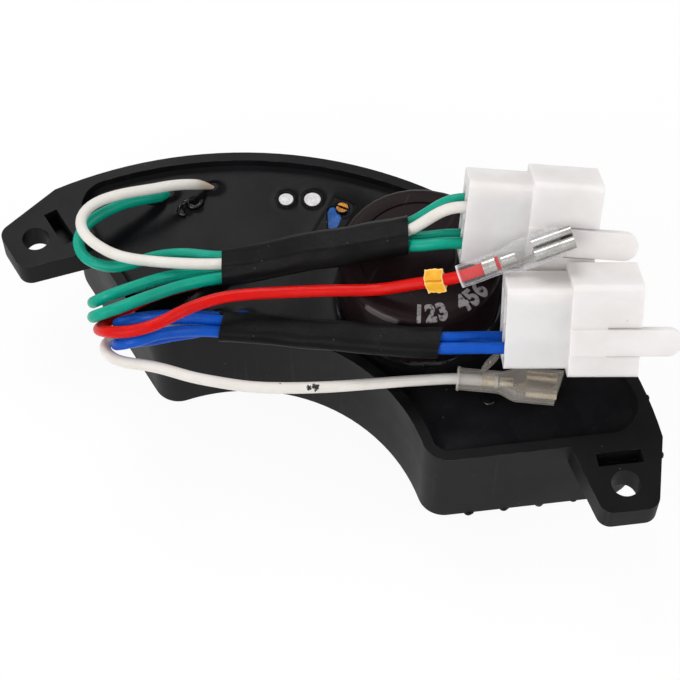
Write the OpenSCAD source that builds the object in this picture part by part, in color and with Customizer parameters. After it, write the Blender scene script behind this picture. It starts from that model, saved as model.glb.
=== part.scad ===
// Arc-shaped potted voltage regulator for a generator, with its leads, plugs and spade terminals

/* [Case] */
// Radius of the outer wall
outer_r = 79; // [74:0.5:84]
// Radius of the concave inner wall
inner_r = 34.8; // [32:0.2:37]
// How far the inner wall's centre lies in front of the outer wall's
inner_shift = 2.4; // [1:0.2:4]
// Direction of the straight end walls, in degrees from the X axis
end_angle = 33; // [30:0.5:36]
// Distance from the outer wall's centre to the plane of an end wall
end_offset = 4.7; // [3:0.1:6]
// Height from the underside to the rim, without the ribs
case_h = 22; // [20:0.5:26]
// Thickness of the walls
wall = 2; // [1.4:0.1:2.4]
// Thickness of the floor
floor_t = 2; // [1.4:0.1:2.6]
// Radius of the rounded inner corners
inner_corner_r = 5; // [4:0.2:6]
// Radius of the rounded outer corners
outer_corner_r = 8; // [5:0.5:10]
// Height of the curved ribs under the floor
rib_h = 1; // [0.6:0.1:1.6]
// Width of a rib
rib_w = 1.8; // [1.2:0.1:2.4]
// Radius of the first rib
rib_first_r = 45; // [43:0.5:47]
// Distance from one rib to the next
rib_pitch = 6.6; // [5.5:0.1:7.4]
// Number of ribs
rib_count = 4; // [3:1:4]

/* [Mounting ears] */
// Distance between the two mounting holes
hole_spacing = 122; // [119:0.5:124]
// Diameter of a mounting hole
hole_d = 5.2; // [4:0.1:6]
// Distance of the holes from the outer wall's centre, along Y
hole_y = 35.1; // [34:0.1:36]
// Thickness of an ear
ear_t = 5.5; // [4:0.1:8]
// From the hole to the ear's tip
ear_reach = 5.6; // [5:0.1:7]
// Width of the ear at its tip
ear_tip_w = 10; // [9:0.1:12]
// Width of the ear on the inner side of the hole, at the end wall
ear_inner_w = 8.4; // [7.5:0.1:9.5]
// Corner radius at the ear's tip
ear_tip_r = 2.6; // [1:0.1:3.4]
// Length of the blind pocket between the hole and the end wall
pocket_l = 8.4; // [6:0.1:9]
// Width of that pocket
pocket_w = 2.7; // [2:0.1:3]
// Distance from the end wall to the pocket
pocket_inset = 1.9; // [1.6:0.1:2.2]
// Depth of the pocket
pocket_depth = 4; // [2:0.1:4.8]

/* [Potting and board] */
// How far the potting compound lies below the rim
potting_drop = 2.2; // [1:0.1:2.8]
// Height of the bosses that carry the board
boss_h = 5.8; // [5:0.1:6.6]
// Diameter of a boss
boss_d = 6; // [4:0.5:8]
// Thickness of the circuit board
board_t = 1.6; // [1:0.1:2]
// Gap between the board's edge and the walls
board_gap = 0.8; // [0.4:0.1:1.4]
// Clearance of the compound round what it holds
cast_gap = 0.05; // [0.02:0.01:0.1]

/* [Main capacitor] */
// Direction of the capacitor from the outer wall's centre, in degrees from the X axis
can_angle = 79.6; // [78.5:0.1:81]
// Gap between the capacitor and the outer wall
can_gap = 4.1; // [2:0.1:5.5]
// Outer diameter over the plastic sleeve
can_d = 30.6; // [29:0.1:32]
// Height from the board to the top
can_h = 24.8; // [22:0.1:25]
// Thickness of the plastic sleeve
can_sleeve_t = 0.25; // [0.15:0.05:0.4]
// Radius of the rounded shoulder
can_shoulder_r = 1.6; // [1:0.1:2.4]
// Width of the sleeve's lip on the top face
can_lip = 3.6; // [2:0.1:5]
// Thickness of the insulating disc under the lip
can_disc_t = 0.3; // [0.2:0.05:0.5]
// Spacing of the capacitor's two pins
can_pin_gap = 10; // [8:0.5:12]

/* [Trimmer] */
// Direction of the trimmer's screw from the outer wall's centre, in degrees from the X axis
trim_angle = 99.4; // [99:0.1:100]
// Gap between the trimmer's screw and the outer wall
trim_gap = 6.6; // [5:0.1:8]
// Length of the trimmer's body
trim_l = 9.5; // [8.5:0.1:10.5]
// Width of the trimmer's body
trim_w = 4.8; // [4:0.1:5.6]
// Height of the trimmer's body over the board
trim_h = 10.6; // [10.4:0.1:11.4]
// From the body's end to the screw
trim_edge = 1.9; // [1.7:0.1:2.4]
// Diameter of the adjusting screw
screw_d = 2.3; // [1.8:0.1:2.6]
// Clearance round the screw
screw_gap = 0.06; // [0.03:0.01:0.1]
// Depth of the screw in the body
screw_depth = 6; // [4:0.5:7]
// Height of the screw head over the body
screw_proud = 0.8; // [0.4:0.1:1.2]
// Width of the screwdriver slot
slot_w = 0.5; // [0.3:0.1:0.7]
// Depth of the screwdriver slot
slot_depth = 0.6; // [0.3:0.1:0.8]

/* [Board parts] */
// Diameter of the left small capacitor
small_left_d = 4; // [3.6:0.1:4.4]
// Diameter of the right small capacitor
small_right_d = 4.4; // [4:0.1:4.8]
// Direction of the left small capacitor from the outer wall's centre, in degrees from the X axis
small_left_angle = 108.8; // [108.6:0.1:110]
// Direction of the right small capacitor from the outer wall's centre, in degrees from the X axis
small_right_angle = 104.6; // [104.2:0.1:104.8]
// Gap between the left small capacitor and the outer wall
small_left_gap = 5.4; // [4:0.1:7]
// Gap between the right small capacitor and the outer wall
small_right_gap = 4.4; // [3:0.1:6]
// How far the small capacitors stand out of the compound
small_proud = 0.15; // [0.1:0.05:0.4]
// Length of the bridge rectifier
bridge_l = 20; // [17:0.5:22]
// Width of the bridge rectifier
bridge_w = 16; // [13:0.5:18]
// Thickness of the bridge rectifier
bridge_t = 3.6; // [3:0.1:5]
// Width of the power transistor
transistor_w = 10.2; // [9.5:0.1:11]
// Length of the transistor's moulded body
transistor_l = 9; // [8:0.1:10]
// Thickness of the transistor's moulded body
transistor_t = 4.4; // [3.5:0.1:5]
// Thickness of the transistor's metal tab
tab_t = 1.3; // [1:0.1:1.6]
// Length of the driver chip
chip_l = 9.6; // [9:0.1:10.4]
// Width of the driver chip
chip_w = 6.4; // [5.8:0.1:7]
// Thickness of the driver chip
chip_t = 3.3; // [2.6:0.1:4]
// Diameter of the dropping resistor
resistor_d = 4.5; // [3.6:0.1:5]
// Length of the dropping resistor
resistor_l = 14; // [11:0.5:16]
// How far the power transistor lies inside the arc's middle line
transistor_in = 2; // [0:0.5:4]
// How far the driver chip lies inside the arc's middle line
chip_in = 4; // [2:0.5:6]
// How far the dropping resistor lies outside the arc's middle line
resistor_out = 12; // [9:0.5:13]
// Diameter of the component pins
pin_d = 0.9; // [0.7:0.1:1.1]

/* [Leads] */
// Diameter of the white leads
white_d = 2.1; // [1.8:0.1:2.1]
// Diameter of the green leads
green_d = 2.2; // [1.8:0.1:2.2]
// Diameter of the red lead
red_d = 2.2; // [1.8:0.1:2.2]
// Diameter of the blue leads
blue_d = 2.2; // [1.8:0.1:2.2]
// Wall of the two heat-shrink sleeves
shrink_t = 0.35; // [0.2:0.05:0.5]
// Inner width of the upper heat-shrink sleeve
upper_bore_w = 6.8; // [6.8:0.1:7.6]
// Inner height of the upper heat-shrink sleeve
upper_bore_h = 5; // [5:0.1:5.6]
// Inner width of the lower heat-shrink sleeve
lower_bore_w = 5.3; // [4.8:0.1:5.7]
// Inner height of the lower heat-shrink sleeve
lower_bore_h = 3; // [2.6:0.1:3.4]

/* [Plugs] */
// Length of a plug housing without its latch
plug_l = 24; // [23:0.1:26]
// Length of the slimmer rear part
plug_rear_l = 11.4; // [10.5:0.1:12]
// Width of the hood
hood_w = 18.4; // [17.8:0.1:19.2]
// Thickness of the hood
hood_t = 11; // [10.4:0.1:11.4]
// Width of the rear part
rear_w = 16; // [15.8:0.1:16.6]
// Thickness of the rear part
rear_t = 9; // [8.8:0.1:9.6]
// Wall of the hood
hood_wall = 1.3; // [1:0.1:1.5]
// Thickness of the wall between the rear part and the hood
plug_web = 1.2; // [0.8:0.1:1.6]
// Corner radius of the housing
plug_r = 1.2; // [0.6:0.1:1.5]
// Width of a contact chamber
chamber_w = 5.6; // [5.4:0.1:5.8]
// Height of a contact chamber
chamber_h = 3.2; // [3:0.1:3.3]
// Distance between the two rows of chambers
chamber_pitch = 7; // [6.8:0.1:7.2]
// Distance between the two layers of chambers
layer_pitch = 4.2; // [4.1:0.1:4.3]
// How far the rows lie off the middle of the housing
chamber_shift = -1.1; // [-1.3:0.1:-0.9]
// Width of the latch arm
latch_w = 5.2; // [4.4:0.1:5.8]
// Thickness of the latch arm
latch_t = 1.5; // [1.3:0.1:1.8]
// How far the latch reaches past the hood
latch_reach = 7.4; // [5:0.1:9]
// How far the latch lies off the middle of the hood
latch_shift = -1.8; // [-3:0.1:0]
// How far the latch stands proud of the hood
latch_proud = 0.4; // [0.2:0.1:0.8]
// Width of the slits beside the latch
slit_w = 0.3; // [0.2:0.1:0.8]
// Width of a contact blade
blade_w = 4.8; // [4:0.1:5]
// Thickness of a contact blade
blade_t = 0.8; // [0.6:0.1:1]
// Distance from the hood's mouth to the blade tips
blade_drop = 5.6; // [5:0.1:7]
// Clearance of a blade in its slot
blade_gap = 0.1; // [0.05:0.05:0.2]

/* [Spade terminals] */
// Length of a terminal from its sleeve's mouth to its tip
spade_l = 21.4; // [20.5:0.1:23]
// Length of the rolled receptacle
receptacle_l = 7.4; // [6.5:0.1:8]
// Width of the rolled receptacle
receptacle_w = 5.9; // [5.4:0.1:6.2]
// Height of the rolled receptacle
receptacle_h = 2.2; // [2:0.1:2.4]
// Thickness of the terminal's sheet metal
sheet_t = 0.4; // [0.3:0.05:0.5]
// Gap that takes the mating tab
tab_gap = 0.8; // [0.7:0.1:0.9]
// Length of the grip on the lead's insulation
grip_l = 2.4; // [1.8:0.1:3]
// From the sleeve's mouth to that grip
grip_x = 4.6; // [4:0.1:5.4]
// Length of the crimp on the bare strands
crimp_l = 2.8; // [2.2:0.1:3.2]
// Clearance of the grip round the lead
grip_gap = 0.05; // [0.03:0.01:0.1]
// Outer diameter of the clear sleeve at its mouth
boot_d = 4.2; // [4:0.1:4.8]
// Wall of the clear sleeve
boot_t = 0.4; // [0.3:0.05:0.5]
// Clearance of the clear sleeve round the receptacle
boot_gap = 0.2; // [0.1:0.05:0.4]
// Length of metal that shows past the red terminal's sleeve
red_bare = 2.2; // [0.3:0.1:3]
// Length of metal that shows past the white terminal's sleeve
white_bare = 0.4; // [0.3:0.1:3]
// Length of the lead marker
marker_l = 3.8; // [3:0.1:5]
// Width of the lead marker
marker_w = 4.4; // [4:0.1:5]

/* [Hidden] */
$fn = 64;

// Lowest point of the rounded inner corner, which sets the middle of the case along Y
corner_t = end_offset + inner_corner_r;
corner_s = inner_shift * sin(end_angle)
         + sqrt(pow(inner_r + inner_corner_r, 2) - pow(corner_t - inner_shift * cos(end_angle), 2));
case_low_y = corner_s * sin(end_angle) + corner_t * cos(end_angle) - inner_corner_r;
arc_y = -(outer_r + case_low_y) / 2;

// Heights
floor_z = rib_h + floor_t;
rim_z = rib_h + case_h;
potting_z = rim_z - potting_drop;
board_z = floor_z + boss_h;
board_top = board_z + board_t;
can_top = board_top + can_h;
trim_top = board_top + trim_h;
pin_r = pin_d / 2;
pin_drop = 2;
big = 400;
eps = 0.01;

// Polar places on the board, as [radius, angle]
cavity_r = outer_r - wall;
mid_r = (outer_r + inner_r + inner_shift) / 2;
boss_angles = [46, 82, 112, 138];
boss_r = cavity_r - boss_d;
bridge_at = [mid_r, 51];
transistor_at = [mid_r - transistor_in, 120];
chip_at = [mid_r - chip_in, 133];
resistor_at = [mid_r + resistor_out, 128];
can_at = [cavity_r - can_gap - can_d / 2, can_angle];
trim_at = [cavity_r - trim_gap - screw_d / 2, trim_angle];
small_left_at = [cavity_r - small_left_gap - small_left_d / 2, small_left_angle];
small_right_at = [cavity_r - small_right_gap - small_right_d / 2, small_right_angle];
can_x = polar(can_at).x;
can_y = polar(can_at).y;
trim_x = polar(trim_at).x;
trim_y = polar(trim_at).y;

// Places of the plugs: where the rear face's middle lies, and how the plug is turned
upper_plug_at = [16.3, 9.1, 45.2];
upper_plug_turn = [-34, 4.5, 24];
lower_plug_at = [30.4, -4, 38.2];
lower_plug_turn = [-31, 0.8, 26.4];
lead_depth = 3.5;

// Places of the terminals: the middle of the sleeve's mouth, and how they are turned
red_spade_at = [20.8, -2.6, 43.8];
red_spade_turn = [-26, -17, 38.4];
white_spade_at = [25, -10.5, 23.5];
white_spade_turn = [0, 1.2, 20.2];

// Middle lines of the two heat-shrink sleeves
upper_sleeve_route = [[-22.5, -12, 31.5], [-15.5, -9, 34], [-9, -6, 37], [-3, -3, 38.5], [2.5, 0.5, 39.5],
                      [8, 3.5, 41]];
lower_sleeve_route = [[-17.5, -22, 28.5], [-10.5, -19.5, 29], [-3.5, -17.5, 29.5], [3, -16, 31],
                      [9.5, -15, 33], [15.5, -13.5, 34], [21.5, -11.5, 35]];

// Free stretches of the leads, from the compound to their sleeve, and from the sleeve to their plug
white_upper_free = [[-36.4, 10.1, 20.8], [-38.2, 8.5, 22.8], [-39.8, 6.2, 24.8], [-42, 3.5, 26.5],
                    [-44.5, 0.5, 27.5], [-48, -3.5, 29], [-51, -7, 29.5], [-52.5, -10.5, 30],
                    [-52, -14, 30.5], [-49.5, -16.5, 31], [-46.5, -17.5, 31], [-42, -18, 31],
                    [-35.8, -17.5, 32.4], [-28.6, -15.2, 33]];
white_upper_exit = [[10, 5.5, 43.5], [12, 6.5, 46], [14, 7.5, 48]];
green_a_free = [[-43.5, 5, 20.8], [-44.5, 2.5, 22.5], [-46, 0, 24], [-48.5, -3.5, 25.5],
                [-50.5, -7, 26], [-52, -10.5, 26.5], [-52.5, -13.5, 26.5], [-51.5, -16.5, 27],
                [-49.5, -18.5, 27], [-46.5, -19.5, 27.5], [-43, -19, 27.5], [-40, -17.5, 28],
                [-36.5, -14.5, 29], [-31, -12, 30.5]];
green_a_exit = [[8.5, 7.5, 41.5], [10.5, 9, 43.5], [12.5, 10.5, 45.5]];
green_b_free = [[-26.3, -5.9, 20.8], [-29.3, -9.1, 22], [-32.2, -12.5, 23.4], [-35.2, -16, 24.2],
                [-37.7, -18.9, 24.4], [-40.2, -21.6, 24.3], [-41.3, -23.3, 24.6], [-42, -25.1, 25.6],
                [-42.1, -26.9, 27], [-41.6, -28.1, 28.6], [-40.7, -28.6, 30.2], [-39.5, -28.3, 31.6],
                [-38.1, -27.4, 32.6], [-36.7, -26.1, 32.9], [-34.6, -23.1, 32.2], [-32.7, -20, 31.2],
                [-30.6, -16.9, 30], [-27.3, -14.1, 29.4]];
green_b_exit = [[10.4, 4.7, 40], [12.4, 6, 40.2], [14, 7, 40.4]];
green_c_free = [[-22.6, -6.5, 20.8], [-25.3, -9.8, 22.6], [-27.9, -13.5, 24.6], [-30.6, -17.5, 26.2],
                [-32.9, -20.9, 27], [-35, -23.6, 27.4], [-37.1, -26.4, 27.6], [-38.3, -28, 27.9],
                [-39, -29.7, 28.9], [-39.1, -31.3, 30.3], [-38.7, -32.5, 31.9], [-37.8, -33, 33.5],
                [-36.5, -32.8, 34.9], [-35.1, -32.1, 35.9], [-33.7, -30.9, 36.2], [-31.4, -27.6, 35.8],
                [-29.5, -24.4, 34.7], [-27.4, -20.7, 33.3], [-24.7, -17, 31.9]];
green_c_exit = [[11.4, 1.7, 41.9], [13.5, 2.8, 42.5], [15.5, 3.9, 42.8]];
red_free = [[-27.9, -10.7, 20.8], [-30, -13.5, 22], [-32.4, -17, 23.3], [-34.4, -20.2, 24.2],
            [-36.2, -23.1, 24.5], [-37.1, -24.9, 24.4], [-37.9, -27.1, 24.8], [-38.3, -29.3, 25.9],
            [-38, -31.4, 27.5], [-37.3, -33, 29.5], [-36.1, -34, 31.5], [-34.4, -34.6, 33.1],
            [-32.6, -34.7, 34.2], [-30.9, -34.1, 34.6], [-28.7, -32.8, 35], [-26.6, -31.3, 35.6],
            [-25, -29.1, 35.6], [-23.6, -26.1, 35], [-21.5, -23, 34.7], [-18.7, -19.9, 34.5],
            [-14.9, -17.3, 34.6], [-9.2, -14.4, 35], [-0.9, -10.6, 36], [7.5, -7.2, 37.2],
            [11.5, -5.6, 38.9]];

// The straight bit of the red lead that carries the marker
marker_from = [14.9, -4.3, 40.5];
marker_to = [18.9, -3, 42.4];
blue_a_free = [[-21.4, -16.1, 20.8], [-24, -18.3, 22.4], [-26.6, -20.5, 24], [-28.7, -22.3, 25.2],
               [-30.8, -23.9, 25.6], [-33, -25.2, 25.5], [-34.3, -26.4, 25.8], [-35.1, -27.9, 26.6],
               [-35.2, -29.4, 27.8], [-34.9, -30.5, 29.3], [-34, -31, 30.8], [-32.7, -31.1, 32],
               [-31.2, -30.6, 32.8], [-29.7, -29.8, 33.1], [-27.5, -28.2, 32.8], [-25, -26.1, 31.8],
               [-22, -23.4, 30.1]];
blue_a_exit = [[23.5, -9.4, 35], [25.8, -7.6, 34.4], [28, -6, 33.6]];
blue_b_free = [[-17, -14, 20.8], [-16.8, -14.8, 22.6], [-16.6, -15.8, 24.2], [-16.9, -17.4, 25.4],
               [-18.1, -19.3, 25.9], [-20.6, -22.4, 25.7], [-24.2, -24.5, 24.8], [-27.4, -26.7, 24.7],
               [-29.5, -28.5, 24.4], [-31.2, -29.4, 24.7], [-32.3, -30.4, 24.9], [-33.2, -32, 26],
               [-33.4, -33.3, 27.1], [-33.3, -34, 28.8], [-32.3, -34.8, 30.3], [-30.9, -34.9, 31.5],
               [-29.7, -34.2, 32.5], [-28.1, -33.6, 32.8], [-26.5, -31.3, 32.7], [-23.8, -28.4, 31.4],
               [-21, -25.5, 29.7]];
blue_b_exit = [[24.2, -11.6, 35.2], [26.8, -10.4, 35.4], [29.3, -9.2, 35.4]];
white_lower_free = [[-26.3, -20.7, 20.8], [-27.2, -22.3, 22.4], [-28.2, -24.3, 24.2],
                    [-30.4, -26, 24.5], [-32.6, -27.7, 24.5], [-34.3, -29.3, 24.7],
                    [-35.6, -31.2, 25.3], [-36, -33, 26.1], [-35.6, -34.6, 27], [-34.3, -35.9, 27.9],
                    [-32.4, -36.9, 28.8], [-30.1, -37.2, 29.4], [-27.4, -36.5, 29.7],
                    [-25, -35.7, 29.6], [-21.3, -34.9, 29.3], [-17.7, -34.2, 28.7], [-12.4, -32.5, 28],
                    [-7.3, -30.6, 27.3], [-0.9, -27.2, 26.4], [5.3, -23.4, 25.6], [11.5, -19.3, 25],
                    [17.7, -15.3, 24.5], [21.8, -12.7, 24.1]];

// Where each lead lies in its sleeve, as [sideways, up], and which chamber of its plug it enters
green_a_lay = [-2, 0.3];
white_lay = [0.1, 1.2];
green_b_lay = [-0.2, -1.25];
green_c_lay = [2, -0.3];
blue_a_lay = [-1.15, 0];
blue_b_lay = [1.15, 0];
front_layer = -layer_pitch / 2;
back_layer = layer_pitch / 2;
top_row = chamber_shift + chamber_pitch / 2;
low_row = chamber_shift - chamber_pitch / 2;

// Turns a point by the angles that rotate() takes
function turned(p, a) =
    let (x = [p.x, p.y * cos(a.x) - p.z * sin(a.x), p.y * sin(a.x) + p.z * cos(a.x)],
         y = [x.x * cos(a.y) + x.z * sin(a.y), x.y, x.z * cos(a.y) - x.x * sin(a.y)])
    [y.x * cos(a.z) - y.y * sin(a.z), y.x * sin(a.z) + y.y * cos(a.z), y.z];
function unit(v) = v / norm(v);
function polar(at) = [at[0] * cos(at[1]), at[0] * sin(at[1])];

// The two points that take a lead straight into a chamber
function into_plug(at, turn, layer, row) =
    [at + turned([-0.5, layer, row], turn), at + turned([lead_depth, layer, row], turn)];
// The two points that take a lead straight into a terminal's grip
function into_spade(at, turn) =
    [at, at + turned([grip_x + grip_l + 0.6, 0, 0], turn)];

// A sleeve's sideways direction, and the route of a lead that lies in it
function sideways(route) =
    let (d = unit([for (i = [0, 1]) route[len(route) - 1][i] - route[0][i]]))
    [d.y, -d.x, 0];
function laid(route, lay) = [for (p = route) p + lay[0] * sideways(route) + [0, 0, lay[1]]];

white_upper_route = concat(white_upper_free, laid(upper_sleeve_route, white_lay), white_upper_exit,
                           into_plug(upper_plug_at, upper_plug_turn, front_layer, top_row));
green_a_route = concat(green_a_free, laid(upper_sleeve_route, green_a_lay), green_a_exit,
                       into_plug(upper_plug_at, upper_plug_turn, back_layer, top_row));
green_b_route = concat(green_b_free, laid(upper_sleeve_route, green_b_lay), green_b_exit,
                       into_plug(upper_plug_at, upper_plug_turn, back_layer, low_row));
green_c_route = concat(green_c_free, laid(upper_sleeve_route, green_c_lay), green_c_exit,
                       into_plug(upper_plug_at, upper_plug_turn, front_layer, low_row));
blue_a_route = concat(blue_a_free, laid(lower_sleeve_route, blue_a_lay), blue_a_exit,
                      into_plug(lower_plug_at, lower_plug_turn, back_layer, low_row));
blue_b_route = concat(blue_b_free, laid(lower_sleeve_route, blue_b_lay), blue_b_exit,
                      into_plug(lower_plug_at, lower_plug_turn, front_layer, low_row));
red_route = concat(red_free, [marker_from, marker_to], into_spade(red_spade_at, red_spade_turn));
white_lower_route = concat(white_lower_free, into_spade(white_spade_at, white_spade_turn));

// Directions along a route, and a sideways vector carried along it without twist
function along(p, i) =
    i == 0 ? unit(p[1] - p[0])
  : i == len(p) - 1 ? unit(p[i] - p[i - 1])
  : unit(unit(p[i + 1] - p[i]) + unit(p[i] - p[i - 1]));
function square_to(v, t) = unit(v - (v * t) * t);
function carried(p) =
    [for (i = 0, n = square_to([0, 0, 1], along(p, 0)); i < len(p);
          i = i + 1, n = i < len(p) ? square_to(n, along(p, i)) : n) n];

// Skin of a lead: rings of eight points, the first one cut flat where the compound holds it
lead_sides = 8;
module lead(route, d) {
    sides = carried(route);
    points = [for (i = [0 : len(route) - 1], k = [0 : lead_sides - 1])
        let (t = along(route, i),
             b = cross(t, sides[i]),
             a = 360 * k / lead_sides,
             v = route[i] + d / 2 * (cos(a) * sides[i] + sin(a) * b))
        i == 0 ? v + t * (potting_z - v.z) / t.z : v];
    n = lead_sides;
    last = (len(route) - 1) * n;
    faces = concat(
        [[for (k = [0 : n - 1]) k]],
        [for (i = [0 : len(route) - 2], k = [0 : n - 1])
            [i * n + k, (i + 1) * n + k, (i + 1) * n + (k + 1) % n, i * n + (k + 1) % n]],
        [[for (k = [n - 1 : -1 : 0]) last + k]]);
    polyhedron(points, faces);
}

// Outline of an oblong with round ends, as points
oblong_sides = 16;
function oblong(w, h) =
    [for (k = [0 : oblong_sides - 1])
        let (a = 360 * (k + 0.5) / oblong_sides)
        [sign(cos(a)) * (w - h) / 2 + cos(a) * h / 2, -sin(a) * h / 2]];

// Hollow sleeve along a route: outer rings forward, inner rings back, and round again
module shrink(route, w, h) {
    s = sideways(route);
    rings = concat(
        [for (p = route) [for (q = oblong(w + 2 * shrink_t, h + 2 * shrink_t)) p + q.x * s + [0, 0, q.y]]],
        [for (i = [len(route) - 1 : -1 : 0]) [for (q = oblong(w, h)) route[i] + q.x * s + [0, 0, q.y]]]);
    m = len(rings);
    n = oblong_sides;
    points = [for (r = rings) each r];
    faces = [for (i = [0 : m - 1], k = [0 : n - 1])
        let (j = (i + 1) % m, l = (k + 1) % n)
        [i * n + k, j * n + k, j * n + l, i * n + l]];
    polyhedron(points, faces);
}

// Rounded corners on a convex outline: the corner's circle and where it touches the edges
function corner_dirs(p, i) =
    let (n = len(p))
    [unit(p[(i + n - 1) % n] - p[i]), unit(p[(i + 1) % n] - p[i])];
function corner_half(p, i) = let (d = corner_dirs(p, i)) acos(d[0] * d[1]) / 2;
function corner_centre(p, i, r) =
    let (d = corner_dirs(p, i)) p[i] + unit(d[0] + d[1]) * r / sin(corner_half(p, i));
module rounded(p, radii) {
    polygon([for (i = [0 : len(p) - 1])
        let (d = corner_dirs(p, i), s = radii[i] / tan(corner_half(p, i)))
        each (radii[i] > 0 ? [p[i] + d[0] * s, p[i] + d[1] * s] : [p[i]])]);
    for (i = [0 : len(p) - 1])
        if (radii[i] > 0)
            translate(corner_centre(p, i, radii[i]))
                circle(radii[i]);
}
module rounded_rect(w, h, r)
    rounded([[-w / 2, -h / 2], [w / 2, -h / 2], [w / 2, h / 2], [-w / 2, h / 2]], [r, r, r, r]);

// Both ends of the case, the second as the mirror image of the first
module both_ends() {
    children();
    mirror([1, 0, 0])
        children();
}

// What rounding takes off a corner: from a point past the corner, round the arc between its two feet
corner_steps = 12;
corner_past = 1.3;
module corner_cut(c, foot_a, foot_b) {
    a = foot_a - c;
    b = foot_b - c;
    turn = acos(unit(a) * unit(b));
    arc = [for (k = [0 : corner_steps])
        c + (a * sin(turn * (1 - k / corner_steps)) + b * sin(turn * k / corner_steps)) / sin(turn)];
    polygon(concat([c + corner_past * (a + b)], arc));
}

// Outline of the arc at a distance inside the case's outer faces
module arc_outline(inset, square_ends = false) {
    ro = outer_r - inset;
    ri = inner_r + inset;
    e = end_offset + inset;
    rc = inner_corner_r - inset;
    rk = outer_corner_r - inset;
    shift_s = inner_shift * sin(end_angle);
    shift_t = inner_shift * cos(end_angle);
    inner_c = [shift_s + sqrt(pow(ri + rc, 2) - pow(e + rc - shift_t, 2)), e + rc];
    inner_foot = [shift_s, shift_t] + (inner_c - [shift_s, shift_t]) * ri / (ri + rc);
    outer_c = [sqrt(pow(ro - rk, 2) - pow(e + rk, 2)), e + rk];
    outer_foot = outer_c * ro / (ro - rk);
    difference() {
        circle(ro, $fn = 180);
        translate([0, inner_shift])
            circle(ri, $fn = 180);
        both_ends()
            rotate(end_angle) {
                translate([-big, e - big])
                    square([2 * big, big]);
                corner_cut(inner_c, [inner_c.x, e], inner_foot);
                if (!square_ends)
                    corner_cut(outer_c, [outer_c.x, e], outer_foot);
            }
    }
}

// The mounting hole in the end wall's own directions: along the wall, and square to it
hole_s = hole_spacing / 2 * cos(end_angle) + hole_y * sin(end_angle);
hole_t = hole_y * cos(end_angle) - hole_spacing / 2 * sin(end_angle);
ear_root = 2;

// Outline of one ear, rooted a little inside the end wall
module ear_outline() {
    corner_out = sqrt(pow(outer_r, 2) - pow(end_offset, 2)) - hole_s;
    rotate(end_angle)
        translate([hole_s, 0])
            rounded([[-ear_inner_w, end_offset + ear_root], [-ear_inner_w, end_offset],
                     [-ear_tip_w / 2, hole_t - ear_reach], [ear_tip_w / 2, hole_t - ear_reach],
                     [corner_out, end_offset], [corner_out - ear_root, end_offset + ear_root]],
                    [0, 0, ear_tip_r, ear_tip_r, 0, 0]);
}

// Places something at the middle of the arc
module at_arc(z = 0)
    translate([0, arc_y, z])
        children();

module bosses(grow = 0)
    for (a = boss_angles)
        translate(concat(polar([boss_r, a]), floor_z - eps))
            cylinder(d = boss_d + 2 * grow, h = boss_h + eps);

module case()
    color([0.13, 0.13, 0.14])
    at_arc() {
        difference() {
            union() {
                translate([0, 0, rib_h])
                    linear_extrude(case_h - ear_t)
                        arc_outline(0);
                translate([0, 0, rim_z - ear_t])
                    linear_extrude(ear_t) {
                        arc_outline(0, square_ends = true);
                        both_ends()
                            ear_outline();
                    }
            }
            translate([0, 0, floor_z])
                linear_extrude(case_h)
                    arc_outline(wall);
            both_ends() {
                translate([hole_spacing / 2, hole_y, 0])
                    cylinder(d = hole_d, h = big);
                rotate(end_angle)
                    translate([hole_s - pocket_l / 2, end_offset - pocket_inset - pocket_w,
                               rim_z - pocket_depth])
                        cube([pocket_l, pocket_w, big]);
            }
        }
        bosses();
        for (i = [0 : rib_count - 1])
            linear_extrude(rib_h + eps)
                intersection() {
                    arc_outline(wall / 2);
                    difference() {
                        circle(rib_first_r + i * rib_pitch + rib_w / 2, $fn = 180);
                        circle(rib_first_r + i * rib_pitch - rib_w / 2, $fn = 180);
                    }
                }
    }

// Everything that the compound is cast round, a little larger than it is
module cast_cores() {
    g = cast_gap;
    bosses(g);
    translate([0, 0, board_z - g])
        linear_extrude(board_t + 2 * g)
            arc_outline(wall + board_gap - g);
    translate([can_x, can_y, board_z]) {
        cylinder(d = can_d + 2 * g, h = big);
        for (x = [-1, 1])
            translate([x * can_pin_gap / 2, 0, -pin_drop - g])
                cylinder(d = pin_d + 2 * g, h = pin_drop + 2 * g);
    }
    small_can_place(small_left_at)
        cylinder(d = small_left_d + 2 * g, h = big);
    small_can_place(small_right_at)
        cylinder(d = small_right_d + 2 * g, h = big);
    translate([trim_x - trim_w / 2 - g, trim_y + trim_edge - trim_l - g, board_top])
        cube([trim_w + 2 * g, trim_l + 2 * g, big]);
    on_board(bridge_at)
        bridge_form(g);
    on_board(transistor_at)
        transistor_form(g);
    on_board(chip_at)
        chip_form(g);
    on_board(resistor_at)
        resistor_form(g);
}

module potting_compound()
    color([0.05, 0.05, 0.05])
    at_arc()
        difference() {
            translate([0, 0, floor_z])
                linear_extrude(potting_z - floor_z)
                    arc_outline(wall);
            cast_cores();
        }

// Turns a board part so that its length points away from the arc's middle
module on_board(at)
    translate(concat(polar(at), board_top))
        rotate(at[1])
            children();

module small_can_place(at)
    translate(concat(polar(at), board_top))
        children();

// Pins that stand through the board, at places in a part's own frame
module pins(places, grow, up)
    for (p = places)
        translate([p.x, p.y, -board_t - pin_drop - grow])
            cylinder(d = pin_d + 2 * grow, h = board_t + pin_drop + up + grow);

bridge_pins = [for (i = [-1.5 : 1 : 1.5]) [i * bridge_l / 5, -bridge_w / 2 + pin_d]];
transistor_pins = [for (i = [-1 : 1]) [-transistor_l, i * transistor_w / 4]];
chip_pins = [for (x = [-1.5 : 1 : 1.5], y = [-1, 1]) [x * chip_l / 4, y * (chip_w / 2 - pin_d)]];
resistor_pins = [for (y = [-1, 1]) [0, y * (resistor_l / 2 + pin_d)]];

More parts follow.
